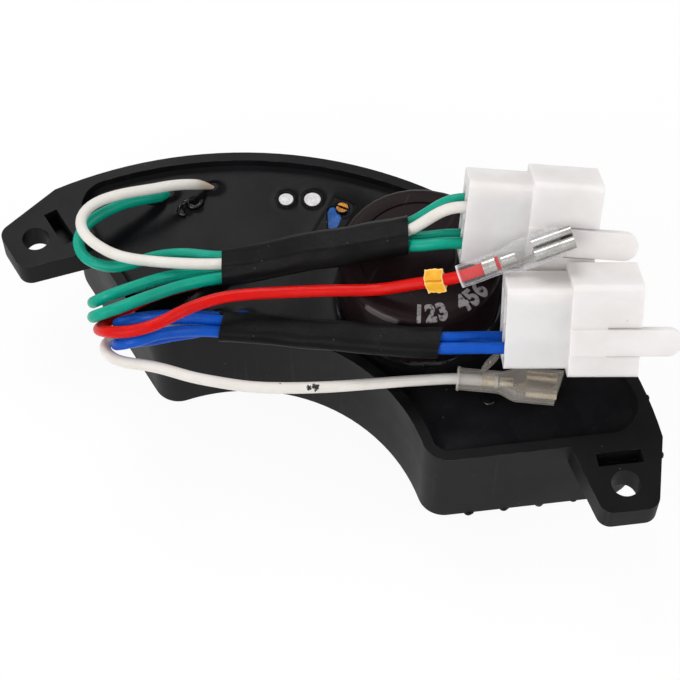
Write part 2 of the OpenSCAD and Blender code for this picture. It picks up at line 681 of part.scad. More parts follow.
module circuit_board()
    color([0.55, 0.42, 0.2])
    at_arc()
        difference() {
            translate([0, 0, board_z])
                linear_extrude(board_t)
                    arc_outline(wall + board_gap);
            for (x = [-1, 1])
                translate([can_x + x * can_pin_gap / 2, can_y, 0])
                    cylinder(d = pin_d + 2 * cast_gap, h = big);
            on_board(bridge_at)
                pins(bridge_pins, cast_gap, 0);
            on_board(transistor_at)
                pins(transistor_pins, cast_gap, 0);
            on_board(chip_at)
                pins(chip_pins, cast_gap, 0);
            on_board(resistor_at)
                pins(resistor_pins, cast_gap, 0);
        }

// Half section of a can: straight side and rounded shoulder
module can_profile(r, h, shoulder) {
    square([r - shoulder, h]);
    square([r, h - shoulder]);
    translate([r - shoulder, h - shoulder])
        circle(shoulder);
}

can_foot = 0.5;
can_metal_r = can_d / 2 - can_sleeve_t;

module capacitor_can()
    color([0.75, 0.76, 0.77])
    at_arc()
        translate([can_x, can_y, board_top]) {
            rotate_extrude($fn = 96)
                can_profile(can_metal_r, can_h - can_sleeve_t - can_disc_t, can_shoulder_r - can_sleeve_t);
            for (x = [-1, 1])
                translate([x * can_pin_gap / 2, 0, -board_t - pin_drop])
                    cylinder(d = pin_d, h = board_t + pin_drop + eps);
        }

module capacitor_sleeve()
    color([0.2, 0.12, 0.13])
    at_arc()
        translate([can_x, can_y, board_top])
            rotate_extrude($fn = 96)
                difference() {
                    can_profile(can_d / 2, can_h, can_shoulder_r);
                    can_profile(can_metal_r, can_h - can_sleeve_t - can_disc_t, can_shoulder_r - can_sleeve_t);
                    square([can_metal_r, can_foot]);
                    square([can_d / 2 - can_lip, big]);
                    translate([0, can_h - can_sleeve_t - can_disc_t - eps])
                        square([can_metal_r - can_shoulder_r, can_disc_t + eps]);
                    square([can_d, can_foot]);
                }

module capacitor_disc()
    color([0.22, 0.14, 0.15])
    at_arc()
        translate([can_x, can_y, can_top - can_sleeve_t - can_disc_t])
            cylinder(r = can_metal_r - can_shoulder_r, h = can_disc_t, $fn = 96);

// Small can: a metal top sunk a little inside the rim of its plastic sleeve
small_rim = 0.35;
small_sink = 0.12;
module small_can(at, d)
    at_arc()
        small_can_place(at)
            difference() {
                cylinder(d = d, h = potting_z + small_proud - board_top);
                translate([0, 0, potting_z + small_proud - board_top - small_sink])
                    cylinder(d = d - 2 * small_rim, h = big);
            }

module small_capacitor_left()
    color([0.82, 0.82, 0.8])
        small_can(small_left_at, small_left_d);

module small_capacitor_right()
    color([0.82, 0.82, 0.8])
        small_can(small_right_at, small_right_d);

trim_foot = 0.6;
module trimmer_body()
    color([0.1, 0.3, 0.62])
    at_arc()
        difference() {
            translate([trim_x - trim_w / 2, trim_y + trim_edge - trim_l, board_top])
                cube([trim_w, trim_l, trim_h]);
            translate([trim_x - big / 2, trim_y + trim_edge - trim_l * 3 / 4, board_top - eps])
                cube([big, trim_l / 2, trim_foot]);
            translate([trim_x, trim_y, trim_top - screw_depth])
                cylinder(d = screw_d + 2 * screw_gap, h = big);
        }

module trimmer_screw()
    color([0.78, 0.6, 0.28])
    at_arc()
        translate([trim_x, trim_y, trim_top - screw_depth])
            difference() {
                cylinder(d = screw_d, h = screw_depth + screw_proud);
                translate([-screw_d, -slot_w / 2, screw_depth + screw_proud - slot_depth])
                    cube([2 * screw_d, slot_w, big]);
            }

module bridge_form(grow = 0) {
    translate([0, 0, pin_d])
        linear_extrude(bridge_t + grow)
            rounded([[-bridge_l / 2 - grow, -bridge_w / 2 - grow], [bridge_l / 2 + grow, -bridge_w / 2 - grow],
                     [bridge_l / 2 + grow, bridge_w / 2 + grow], [-bridge_l / 2 - grow, bridge_w / 2 + grow]],
                    [1, 1, 3, 1]);
    pins(bridge_pins, grow, pin_d + eps);
}

module transistor_form(grow = 0) {
    translate([-transistor_l / 2 - grow, -transistor_w / 2 - grow, -eps * grow])
        cube([transistor_l + 2 * grow, transistor_w + 2 * grow, transistor_t + grow]);
    translate([transistor_l / 2 - eps, -transistor_w / 2 - grow, 0])
        cube([transistor_l * 0.7 + grow, transistor_w + 2 * grow, tab_t + grow]);
    for (p = transistor_pins)
        translate([p.x - pin_r - grow, p.y - pin_r - grow, tab_t])
            cube([transistor_l / 2 + pin_d + 2 * grow, pin_d + 2 * grow, pin_d + grow]);
    pins(transistor_pins, grow, tab_t + pin_d);
}

module chip_form(grow = 0) {
    translate([-chip_l / 2 - grow, -chip_w / 2 - grow, pin_r])
        cube([chip_l + 2 * grow, chip_w + 2 * grow, chip_t + grow]);
    pins(chip_pins, grow, pin_d);
}

module resistor_form(grow = 0) {
    translate([0, 0, resistor_d / 2 + pin_r]) {
        rotate([90, 0, 0])
            cylinder(d = resistor_d + 2 * grow, h = resistor_l + 2 * grow, center = true);
        rotate([90, 0, 0])
            cylinder(d = pin_d + 2 * grow, h = resistor_l + 3 * pin_d + 2 * grow, center = true);
    }
    pins(resistor_pins, grow, resistor_d / 2 + pin_r);
}

module bridge_rectifier()
    color([0.12, 0.12, 0.12])
    at_arc()
        on_board(bridge_at)
            bridge_form();

module power_transistor()
    color([0.2, 0.2, 0.21])
    at_arc()
        on_board(transistor_at)
            difference() {
                transistor_form();
                translate([transistor_l * 0.9, 0, -eps])
                    cylinder(d = tab_t * 2.4, h = transistor_t);
            }

module driver_chip()
    color([0.15, 0.15, 0.16])
    at_arc()
        on_board(chip_at)
            chip_form();

module dropping_resistor()
    color([0.5, 0.55, 0.6])
    at_arc()
        on_board(resistor_at)
            resistor_form();

module white_lead_upper()
    color([0.92, 0.9, 0.88])
        lead(white_upper_route, white_d);

module green_lead_a()
    color([0.05, 0.56, 0.47])
        lead(green_a_route, green_d);

module green_lead_b()
    color([0.05, 0.56, 0.47])
        lead(green_b_route, green_d);

module green_lead_c()
    color([0.05, 0.56, 0.47])
        lead(green_c_route, green_d);

module red_lead()
    color([0.85, 0.13, 0.1])
        lead(red_route, red_d);

module blue_lead_a()
    color([0.12, 0.33, 0.78])
        lead(blue_a_route, blue_d);

module blue_lead_b()
    color([0.12, 0.33, 0.78])
        lead(blue_b_route, blue_d);

module white_lead_lower()
    color([0.92, 0.9, 0.88])
        lead(white_lower_route, white_d);

module upper_shrink_sleeve()
    color([0.08, 0.08, 0.09])
        shrink(upper_sleeve_route, upper_bore_w, upper_bore_h);

module lower_shrink_sleeve()
    color([0.08, 0.08, 0.09])
        shrink(lower_sleeve_route, lower_bore_w, lower_bore_h);

// Rounded bar along X, from x0 to x1: thickness along Y, width along Z
module bar(x0, x1, t, w, r)
    translate([x0, 0, 0])
        rotate([90, 0, 90])
            linear_extrude(x1 - x0)
                rounded_rect(t, w, r);

// Four chamber places as [layer, row]
chambers = [[front_layer, top_row], [back_layer, top_row], [front_layer, low_row], [back_layer, low_row]];
hood_floor = plug_rear_l + plug_web;
latch_out = -hood_t / 2 - latch_proud;
latch_tip_r = latch_w / 2;
barb_l = 3;
barb_t = 1.1;
slit_l = 6;

// The latch seen on the hood's wide face: a straight arm with a rounded tip, and a barb inside the tip
module latch() {
    translate([0, latch_out + latch_t, latch_shift])
        rotate([90, 0, 0])
            linear_extrude(latch_t) {
                translate([plug_rear_l, -latch_w / 2])
                    square([plug_l + latch_reach - latch_tip_r - plug_rear_l, latch_w]);
                translate([plug_l + latch_reach - latch_tip_r, 0])
                    circle(latch_tip_r);
            }
    translate([plug_l + latch_reach - latch_tip_r, latch_out + latch_t - eps, latch_shift - latch_w / 4])
        linear_extrude(latch_w / 2)
            polygon([[-barb_l / 2, 0], [-barb_l / 2, barb_t], [-barb_l / 6, barb_t], [barb_l / 2, 0]]);
}

// Plug housing: slim rear part with four chambers, wider hood with a latch arm in its wide wall
module plug_housing(at, turn)
    translate(at)
        rotate(turn) {
            difference() {
                union() {
                    bar(0, plug_rear_l + eps, rear_t, rear_w, plug_r);
                    bar(plug_rear_l, plug_l, hood_t, hood_w, plug_r);
                }
                bar(hood_floor, plug_l + 1, hood_t - 2 * hood_wall, hood_w - 2 * hood_wall, plug_r / 2);
                for (c = chambers) {
                    translate([-1, c[0] - chamber_h / 2, c[1] - chamber_w / 2])
                        cube([plug_rear_l + 1, chamber_h, chamber_w]);
                    translate([0, c[0] - blade_t / 2 - blade_gap, c[1] - blade_w / 2 - blade_gap])
                        cube([plug_l, blade_t + 2 * blade_gap, blade_w + 2 * blade_gap]);
                }
                for (z = [-1, 1])
                    translate([plug_l - slit_l, -hood_t, latch_shift + z * (latch_w + slit_w) / 2 - slit_w / 2])
                        cube([slit_l + 1, hood_t - hood_wall, slit_w]);
            }
            latch();
        }

module upper_plug()
    color([0.93, 0.92, 0.92])
        plug_housing(upper_plug_at, upper_plug_turn);

module lower_plug()
    color([0.93, 0.92, 0.92])
        plug_housing(lower_plug_at, lower_plug_turn);

// Blade contact: a barrel that takes the strands, and a flat blade with a bevelled tip
barrel_l = 3;
barrel_gap = 0.4;
tip_bevel = 0.8;
module contact() {
    x0 = lead_depth + barrel_gap;
    x1 = plug_l - blade_drop;
    translate([x0, 0, 0])
        rotate([0, 90, 0])
            cylinder(d = chamber_h - 2 * blade_gap - blade_t / 2, h = barrel_l);
    translate([0, blade_t / 2, 0])
        rotate([90, 0, 0])
            linear_extrude(blade_t)
                polygon([[x0 + barrel_l - 1, -blade_w / 2], [x1 - tip_bevel, -blade_w / 2],
                         [x1, -blade_w / 2 + tip_bevel], [x1, blade_w / 2 - tip_bevel],
                         [x1 - tip_bevel, blade_w / 2], [x0 + barrel_l - 1, blade_w / 2]]);
}
module contacts(at, turn, places)
    translate(at)
        rotate(turn)
            for (c = places)
                translate([0, c[0], c[1]])
                    contact();

module upper_plug_contacts()
    color([0.82, 0.72, 0.45])
        contacts(upper_plug_at, upper_plug_turn, chambers);

module lower_plug_contacts()
    color([0.82, 0.72, 0.45])
        contacts(lower_plug_at, lower_plug_turn, [for (c = chambers) if (c[1] == low_row) c]);

// Section of the rolled receptacle: a flat floor and two edges curled inwards
module receptacle_section() {
    ro = receptacle_h / 2;
    translate([-receptacle_w / 2 + ro, -ro])
        square([receptacle_w - 2 * ro, sheet_t]);
    for (s = [-1, 1])
        translate([s * (receptacle_w / 2 - ro), 0])
            difference() {
                circle(ro);
                circle(ro - sheet_t);
                translate([s > 0 ? -big : 0, -ro + sheet_t])
                    square([big, tab_gap]);
            }
}

// Spade terminal along X: grip on the insulation, crimp on the strands, neck and rolled receptacle
module spade(at, turn, lead_d) {
    grip_r = lead_d / 2 + grip_gap;
    crimp_r = lead_d / 2;
    crimp_x = grip_x + grip_l + 1;
    neck_x = crimp_x + crimp_l;
    floor_low = -receptacle_h / 2;
    translate(at)
        rotate(turn) {
            translate([spade_l - receptacle_l, 0, 0])
                rotate([90, 0, 90])
                    linear_extrude(receptacle_l)
                        receptacle_section();
            translate([grip_x, 0, 0])
                rotate([0, 90, 0])
                    difference() {
                        cylinder(r = grip_r + sheet_t, h = grip_l);
                        translate([0, 0, -eps])
                            cylinder(r = grip_r, h = grip_l + 2 * eps);
                    }
            translate([crimp_x, 0, 0])
                rotate([0, 90, 0])
                    cylinder(r = crimp_r, h = crimp_l);
            translate([grip_x, -lead_d / 4, -grip_r - sheet_t])
                cube([neck_x - grip_x, lead_d / 2, sheet_t]);
            translate([crimp_x, -lead_d / 4, -grip_r - sheet_t])
                cube([crimp_l, lead_d / 2, grip_r]);
            translate([0, 0, -grip_r - sheet_t])
                linear_extrude(sheet_t)
                    polygon([[neck_x - eps, -lead_d / 4], [spade_l - receptacle_l + eps, floor_low],
                             [spade_l - receptacle_l + eps, -floor_low], [neck_x - eps, lead_d / 4]]);
            translate([spade_l - receptacle_l - sheet_t, floor_low, -grip_r - sheet_t])
                cube([sheet_t + eps, receptacle_h, grip_r + sheet_t + floor_low + sheet_t]);
        }
}

module red_terminal()
    color([0.8, 0.8, 0.8])
        spade(red_spade_at, red_spade_turn, red_d);

module white_terminal()
    color([0.75, 0.68, 0.55])
        spade(white_spade_at, white_spade_turn, white_d);

// Clear sleeve: round at the lead, flaring to an oblong over the receptacle
boot_flare = 7.6;
boot_round = 12.4;
module boot_form(d, w, h, x0, x1) {
    translate([x0, 0, 0])
        rotate([0, 90, 0])
            cylinder(d = d, h = boot_flare - x0 + eps);
    hull() {
        translate([boot_flare, 0, 0])
            rotate([0, 90, 0])
                cylinder(d = d, h = eps, $fn = 32);
        translate([boot_round, 0, 0])
            boot_end(w, h, eps);
    }
    translate([boot_round, 0, 0])
        boot_end(w, h, x1 - boot_round);
}
module boot_end(w, h, l)
    rotate([90, 0, 90])
        linear_extrude(l) {
            square([w - h, h], center = true);
            for (s = [-1, 1])
                translate([s * (w - h) / 2, 0])
                    circle(d = h, $fn = 32);
        }
module boot(at, turn, lead_d, bare) {
    bore_w = receptacle_w + 2 * boot_gap;
    bore_h = max(receptacle_h, lead_d + 2 * grip_gap + 2 * sheet_t) + 2 * boot_gap;
    translate(at)
        rotate(turn)
            difference() {
                boot_form(boot_d, bore_w + 2 * boot_t, bore_h + 2 * boot_t, 0, spade_l - bare);
                boot_form(boot_d - 2 * boot_t, bore_w, bore_h, -1, spade_l);
            }
}

module red_terminal_sleeve()
    color([0.9, 0.9, 0.92, 0.4])
        boot(red_spade_at, red_spade_turn, red_d, red_bare);

module white_terminal_sleeve()
    color([0.7, 0.68, 0.66, 0.5])
        boot(white_spade_at, white_spade_turn, white_d, white_bare);

// Clip-on marker: a short square ring with a groove round its middle
marker_groove = 0.8;
marker_run = marker_to - marker_from;
marker_turn = [0, -asin(marker_run.z / norm(marker_run)), atan2(marker_run.y, marker_run.x)];
module lead_marker()
    color([0.97, 0.71, 0.17])
        translate((marker_from + marker_to) / 2)
            rotate(marker_turn)
                rotate([0, 90, 0])
                    difference() {
                        linear_extrude(marker_l, center = true)
                            rounded_rect(marker_w, marker_w, marker_w / 5);
                        cylinder(d = red_d + 2 * grip_gap, h = big, center = true);
                        difference() {
                            cylinder(d = big, h = marker_groove, center = true);
                            cylinder(d = marker_w - marker_groove, h = big, center = true);
                        }
                    }

case();
potting_compound();
circuit_board();
capacitor_can();
capacitor_sleeve();
capacitor_disc();
small_capacitor_left();
small_capacitor_right();
trimmer_body();
trimmer_screw();
bridge_rectifier();
power_transistor();
driver_chip();
dropping_resistor();
white_lead_upper();
green_lead_a();
green_lead_b();
green_lead_c();
red_lead();
blue_lead_a();
blue_lead_b();
white_lead_lower();
upper_shrink_sleeve();
lower_shrink_sleeve();
upper_plug();
lower_plug();
upper_plug_contacts();
lower_plug_contacts();
red_terminal();
white_terminal();
red_terminal_sleeve();
white_terminal_sleeve();
lead_marker();
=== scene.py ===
import math

import bmesh
import bpy
import numpy as np
from mathutils import Matrix, Vector
from mathutils.bvhtree import BVHTree


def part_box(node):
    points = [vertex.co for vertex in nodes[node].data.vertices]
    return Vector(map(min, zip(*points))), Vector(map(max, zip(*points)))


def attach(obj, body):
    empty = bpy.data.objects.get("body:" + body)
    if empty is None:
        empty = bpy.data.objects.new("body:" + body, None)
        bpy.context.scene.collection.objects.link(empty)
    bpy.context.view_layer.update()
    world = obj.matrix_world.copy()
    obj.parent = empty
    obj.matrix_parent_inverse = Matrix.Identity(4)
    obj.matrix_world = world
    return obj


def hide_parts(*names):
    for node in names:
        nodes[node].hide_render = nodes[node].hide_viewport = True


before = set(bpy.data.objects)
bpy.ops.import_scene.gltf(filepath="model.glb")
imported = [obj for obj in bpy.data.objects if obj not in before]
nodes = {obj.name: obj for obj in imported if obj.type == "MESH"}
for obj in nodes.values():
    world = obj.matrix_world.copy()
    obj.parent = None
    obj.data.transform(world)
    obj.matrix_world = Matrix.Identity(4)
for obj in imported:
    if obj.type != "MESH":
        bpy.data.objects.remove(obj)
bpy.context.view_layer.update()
scene = bpy.context.scene
scene.view_settings.view_transform = "Standard"
mm = 0.001
print("frame loaded:", len(nodes), "nodes")

# camera at the photograph's viewing angle, lengths in mm
view = {"eye": (84.43, -184.21, 332.11), "target": (0.02, -8.20, 16.0), "roll": 0.157, "lens": 102.91}


def aimed(spot, target):
    # stands at a spot and looks at a target
    return Matrix.Translation(spot) @ (target - spot).to_track_quat("-Z", "Y").to_matrix().to_4x4()


def setCamera():
    data = bpy.data.cameras.new("camera")
    data.lens, data.sensor_width = view["lens"], 36
    data.clip_start, data.clip_end = 0.01, 20
    cam = bpy.data.objects.new("camera", data)
    scene.collection.objects.link(cam)
    roll = Matrix.Rotation(math.radians(view["roll"]), 4, "Z")
    cam.matrix_world = aimed(Vector(view["eye"]) * mm, Vector(view["target"]) * mm) @ roll
    scene.camera = cam


setCamera()


class Field:
    # one socket; + - * / and ** on it add Math nodes
    def __init__(self, shade, socket):
        self.shade, self.socket = shade, socket

    def maths(self, operation, a, b):
        return self.shade.node("ShaderNodeMath", {"operation": operation}, {0: a, 1: b})

    def __add__(self, other): return self.maths("ADD", self, other)
    def __radd__(self, other): return self.maths("ADD", other, self)
    def __sub__(self, other): return self.maths("SUBTRACT", self, other)
    def __rsub__(self, other): return self.maths("SUBTRACT", other, self)
    def __mul__(self, other): return self.maths("MULTIPLY", self, other)
    def __rmul__(self, other): return self.maths("MULTIPLY", other, self)
    def __truediv__(self, other): return self.maths("DIVIDE", self, other)
    def __pow__(self, other): return self.maths("POWER", self, other)


class Shade:
    # a node tree; node() makes any node, the rest are short forms of it
    def __init__(self, tree):
        self.tree = tree

    def node(self, kind, settings=None, sockets=None, output=0):
        made = self.tree.nodes.new(kind)
        for key, value in (settings or {}).items():
            setattr(made, key, value)
        for key, value in (sockets or {}).items():
            self.put(made.inputs[key], value)
        return Field(self, made.outputs[output])

    def put(self, socket, value):
        if isinstance(value, Field):
            self.tree.links.new(value.socket, socket)
        else:
            socket.default_value = value

    def place(self):
        return self.node("ShaderNodeTexCoord", output="Object")

    def uv(self):
        return self.node("ShaderNodeUVMap", {"uv_map": "surface"})

    def split(self, vector):
        outs = self.node("ShaderNodeSeparateXYZ", sockets={0: vector}).socket.node.outputs
        return [Field(self, outs[i]) for i in range(3)]

    def noise(self, size, detail=3, rough=0.55):
        # size is the width of one blotch in metres
        return self.node("ShaderNodeTexNoise", sockets={"Vector": self.place(), "Scale": 1 / size, "Detail": detail,
                                                        "Roughness": rough}, output="Fac")

    def drawn(self, vector, scale, turn=0.0, detail=3):
        # noise stretched along one direction; scale is blotches per unit on each axis
        where = self.node("ShaderNodeMapping", sockets={"Vector": vector, "Rotation": (0.0, 0.0, turn), "Scale": scale})
        return self.node("ShaderNodeTexNoise", sockets={"Vector": where, "Scale": 1.0, "Detail": detail}, output="Fac")

    def specks(self, spacing, reach):
        # 1 inside small dots strewn about one spacing apart, 0 elsewhere
        cells = self.node("ShaderNodeTexVoronoi", sockets={"Vector": self.place(), "Scale": 1 / spacing},
                          output="Distance")
        return self.ramp(cells, reach, reach * 0.6)

    def near(self, point, reach, ragged=0.0):
        # 1 within reach of a point given in mm, with a ragged edge
        gap = self.node("ShaderNodeVectorMath", {"operation": "DISTANCE"},
                        {0: self.place(), 1: tuple(c * mm for c in point)}, output="Value")
        if ragged:
            gap = gap + (self.noise(reach * mm * 0.5, 3) - 0.5) * (ragged * mm)
        return self.ramp(gap, reach * mm, reach * mm * 0.7)

    def ramp(self, value, low, high, toLow=0.0, toHigh=1.0):
        return self.node("ShaderNodeMapRange", {"interpolation_type": "SMOOTHSTEP"},
                         {"Value": value, "From Min": low, "From Max": high, "To Min": toLow, "To Max": toHigh})

    def mix(self, share, a, b):
        return self.node("ShaderNodeMix", {"data_type": "RGBA"}, {0: share, 6: a, 7: b}, output=2)

    def tones(self, cloud, light, dark, low=0.3, high=0.7):
        # two colours that change over where a noise is between low and high
        return self.mix(self.ramp(cloud, low, high), rgb(light), rgb(dark))

    def span(self, cloud, start, end):
        # the same for two values
        return self.ramp(cloud, 0.3, 0.7, start, end)

    def tint(self, tone, share, code):
        return self.mix(share, tone, rgb(code))

    def bump(self, height, depth, strength=1.0):
        return self.node("ShaderNodeBump", sockets={"Height": height, "Distance": depth, "Strength": strength})


class Finish(Shade):
    # a material with its Principled shader; constants go straight onto the shader's sockets
    def __init__(self, name, **constants):
        self.material = bpy.data.materials.new(name)
        self.material.use_nodes = True
        super().__init__(self.material.node_tree)
        self.shader = self.tree.nodes["Principled BSDF"]
        self.feed(**constants)

    def feed(self, **sockets):
        for key, value in sockets.items():
            self.put(self.shader.inputs[key.replace("_", " ")], value)
        return self


def rgb(code):
    # a colour as it shows on screen, turned into scene light
    parts = np.array([int(code[i:i + 2], 16) / 255 for i in (0, 2, 4)])
    lin = np.where(parts <= 0.04045, parts / 12.92, ((parts + 0.055) / 1.055) ** 2.4)
    return (*[float(x) for x in lin], 1.0)


def unit(v):
    return v / np.linalg.norm(v, axis=-1, keepdims=True)


def evenPath(points, step, soften=1.2):
    # centripetal cubic through the points, evened out by arc length, then averaged over a short bell-shaped window
    p = np.asarray(points, float)
    k = np.concatenate([[0], np.cumsum(np.sqrt(np.linalg.norm(np.diff(p, axis=0), axis=1)))])
    q = np.vstack([2 * p[0] - p[1], p, 2 * p[-1] - p[-2]])
    kk = np.concatenate([[2 * k[0] - k[1]], k, [2 * k[-1] - k[-2]]])
    slope = np.diff(q, axis=0) / np.diff(kk)[:, None]
    wide = (q[2:] - q[:-2]) / (kk[2:] - kk[:-2])[:, None]
    tangent = slope[:-1] - wide + slope[1:]
    t = np.linspace(0, 1, 40, endpoint=False)[None, :, None]
    span = np.diff(k)[:, None, None]
    a, b, ta, tb = p[:-1, None], p[1:, None], tangent[:-1, None] * span, tangent[1:, None] * span
    fine = a * (2 * t**3 - 3 * t**2 + 1) + ta * (t**3 - 2 * t**2 + t) + b * (3 * t**2 - 2 * t**3) + tb * (t**3 - t**2)
    fine = np.vstack([fine.reshape(-1, 3), p[-1]])
    for _ in range(2):
        run = runOf(fine)
        even = np.linspace(0, run[-1], max(8, int(round(run[-1] / step))) + 1)
        fine = np.stack([np.interp(even, run, fine[:, i]) for i in range(3)], -1)
        w = np.exp(-0.5 * (np.arange(-12, 13) * step / soften) ** 2)
        w /= w.sum()
        pad = np.vstack([2 * fine[0] - fine[12:0:-1], fine, 2 * fine[-1] - fine[-2:-14:-1]])
        fine = np.stack([np.convolve(pad[:, i], w, "valid") for i in range(3)], -1)
    return fine


def runOf(path):
    # distance along a path at each of its points
    return np.concatenate([[0], np.cumsum(np.linalg.norm(np.diff(path, axis=0), axis=1))])


def carriedSides(path):
    # a sideways vector carried along a path from point to point without twist, and the one square to it
    t = unit(np.gradient(path, axis=0))
    side = np.empty_like(t)
    side[0] = unit(np.cross(t[0], [0.3, 0.2, 1.0]))
    for i in range(1, len(t)):
        side[i] = unit(side[i - 1] - t[i] * (side[i - 1] @ t[i]))
    return side, np.cross(t, side)


def turns(count):
    # equal steps round a full turn
    return np.linspace(0, 2 * math.pi, count, endpoint=False)


def tube(path, radius):
    # a circle carried along a path; radius has a row for each point of it and a column for each step round
    side, up = carriedSides(path)
    a = turns(radius.shape[1])[None, :, None]
    return path[:, None] + radius[..., None] * (np.cos(a) * side[:, None] + np.sin(a) * up[:, None])


def about(centre, r, turn, z):
    # points at radius r and height z, turned about an upright axis
    return np.stack(np.broadcast_arrays(centre[0] + r * np.cos(turn), centre[1] + r * np.sin(turn), z), -1)


def upright(node):
    # middle, radius, foot and top of an upright round part, in mm
    lo, hi = np.array(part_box(node)) / mm
    return (lo[:2] + hi[:2]) / 2, (hi[0] - lo[0]) / 2, lo[2], hi[2]


def smoothStep(x):
    x = np.clip(x, 0, 1)
    return x * x * (3 - 2 * x)


def gridPiece(name, grid, finish, wrap=True, ring=False, skirt=None, run=None):
    # quads over a grid of points [along, across]; wrap closes across, ring closes along, otherwise the two ends are
    # filled; an open patch gets a skirt down to that height and a floor
    n, m = grid.shape[:2]
    index = np.arange(n * m).reshape(n, m)
    rows = np.vstack([index, index[:1]]) if ring else index
    cols = np.hstack([rows, rows[:, :1]]) if wrap else rows
    quads = np.stack([cols[:-1, :-1], cols[:-1, 1:], cols[1:, 1:], cols[1:, :-1]], -1).reshape(-1, 4)
    points, faces = grid.reshape(-1, 3), quads.tolist()
    v = np.arange(cols.shape[0]) / (cols.shape[0] - 1) if run is None else np.asarray(run)
    u = np.arange(cols.shape[1]) / (cols.shape[1] - 1)
    uv = np.stack(np.meshgrid(u, v), -1)
    uvs = np.stack([uv[:-1, :-1], uv[:-1, 1:], uv[1:, 1:], uv[1:, :-1]], 2).reshape(-1, 2)
    if wrap and not ring:
        faces += [index[0, ::-1].tolist(), index[-1].tolist()]
        uvs = np.vstack([uvs, np.tile([[0.5, v[0]]], (m, 1)), np.tile([[0.5, v[-1]]], (m, 1))])
    if skirt is not None:
        edge = np.concatenate([index[0], index[1:, -1], index[-1, -2::-1], index[-2:0:-1, 0]])
        low = np.arange(len(edge)) + len(points)
        points = np.vstack([points, np.column_stack([points[edge, :2], np.full(len(edge), skirt)])])
        faces += np.stack([edge, low, np.roll(low, -1), np.roll(edge, -1)], -1).tolist() + [low[::-1].tolist()]
        uvs = np.vstack([uvs, np.zeros((5 * len(edge), 2))])
    mesh = bpy.data.meshes.new(name)
    mesh.from_pydata(points.tolist(), [], faces)
    mesh.uv_layers.new(name="surface").data.foreach_set("uv", uvs.astype(np.float32).ravel())
    mesh.polygons.foreach_set("use_smooth", np.full(len(faces), True))
    mesh.set_sharp_from_angle(angle=math.radians(50))
    mesh.update()
    return addPiece(name, mesh, finish)


def addPiece(name, mesh, finish, body="regulator"):
    obj = bpy.data.objects.new(name, mesh)
    scene.collection.objects.link(obj)
    mesh.materials.clear()
    mesh.materials.append(finish.material)
    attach(obj, body)
    return obj


def softened(name, node, finish, width, segments=2, angle=28):
    # a copy of a CAD solid, merged into whole faces, with its sharp edges rounded by a bevel
    mesh = nodes[node].data.copy()
    bm = bmesh.new()
    bm.from_mesh(mesh)
    bmesh.ops.remove_doubles(bm, verts=bm.verts, dist=1e-6)
    bmesh.ops.dissolve_limit(bm, angle_limit=math.radians(0.6), verts=bm.verts, edges=bm.edges)
    bm.to_mesh(mesh)
    bm.free()
    mesh.polygons.foreach_set("use_smooth", np.full(len(mesh.polygons), True))
    mesh.set_sharp_from_angle(angle=math.radians(angle))
    obj = addPiece(name, mesh, finish)
    bevel = obj.modifiers.new("edges", "BEVEL")
    bevel.width, bevel.segments, bevel.limit_method = width * mm, segments, "ANGLE"
    bevel.angle_limit, bevel.harden_normals = math.radians(angle), True
    bevel.use_clamp_overlap = True
    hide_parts(node)
    return obj


def posed(pose, points):
    # points of a piece's own frame, turned about X, Y and Z in that order and moved to its place, mm to metres
    x, y, z = (math.radians(a) for a in pose["turn"])
    turn = np.array(Matrix.Rotation(z, 3, "Z") @ Matrix.Rotation(y, 3, "Y") @ Matrix.Rotation(x, 3, "X"))
    return (np.asarray(points, float) @ turn.T + np.array(pose["at"])) * mm


# insulation of the leads; flecks are the dark smudges on the lower white one, in mm
plastics = {
    "white": {"colour": "e0dcd6", "dark": "cfc8be", "rough": 0.36},
    "green": {"colour": "029c83", "dark": "027a64", "rough": 0.28},
    "red": {"colour": "cf0803", "dark": "a80602", "rough": 0.3},
    "blue": {"colour": "0550b8", "dark": "043a8e", "rough": 0.28},
    "flecks": [((3.35, -25.3, 27.0), 0.85, 1.5), ((2.3, -25.9, 26.9), 0.55, 0.9), ((-2.6, -27.8, 27.4), 0.3, 0.2)],
}


def leadFinish(kind):
    spec = plastics[kind]
    m = Finish(kind + "Insulation", Specular_IOR_Level=0.16, Subsurface_Weight=0.06,
               Subsurface_Radius=(0.001, 0.001, 0.001))
    uv = m.uv()
    along = m.split(uv)[1]
    # fine lines drawn along the lead by the extruder
    lines = m.drawn(uv, (26.0, 40.0, 1.0))
    blotch = m.noise(0.004)
    grime = m.ramp(m.noise(0.0016, 4), 0.62, 0.78)
    tone = m.mix(m.ramp(blotch, 0.35, 0.75, 0, 0.35), rgb(spec["colour"]), rgb(spec["dark"]))
    tone = m.tint(tone, grime * 0.1, "5a5048")
    if kind == "white":
        # the compound's stain on the insulation where the lead comes out of it
        tone = m.tint(tone, m.ramp(along + blotch * 0.006, 0.010, 0.0045) * 0.55, "9a7434")
        for point, reach, ragged in plastics["flecks"]:
            tone = m.tint(tone, m.near(point, reach, ragged) * 0.97, "100f0e")
    return m.feed(Base_Color=tone, Roughness=m.span(blotch, spec["rough"] - 0.06, spec["rough"] + 0.1),
                  Normal=m.bump(lines * 0.8 + m.noise(0.0007, 2) * 0.25, 0.0002, 0.6))


leadFinishes = {k: leadFinish(k) for k in ("white", "green", "red", "blue")}

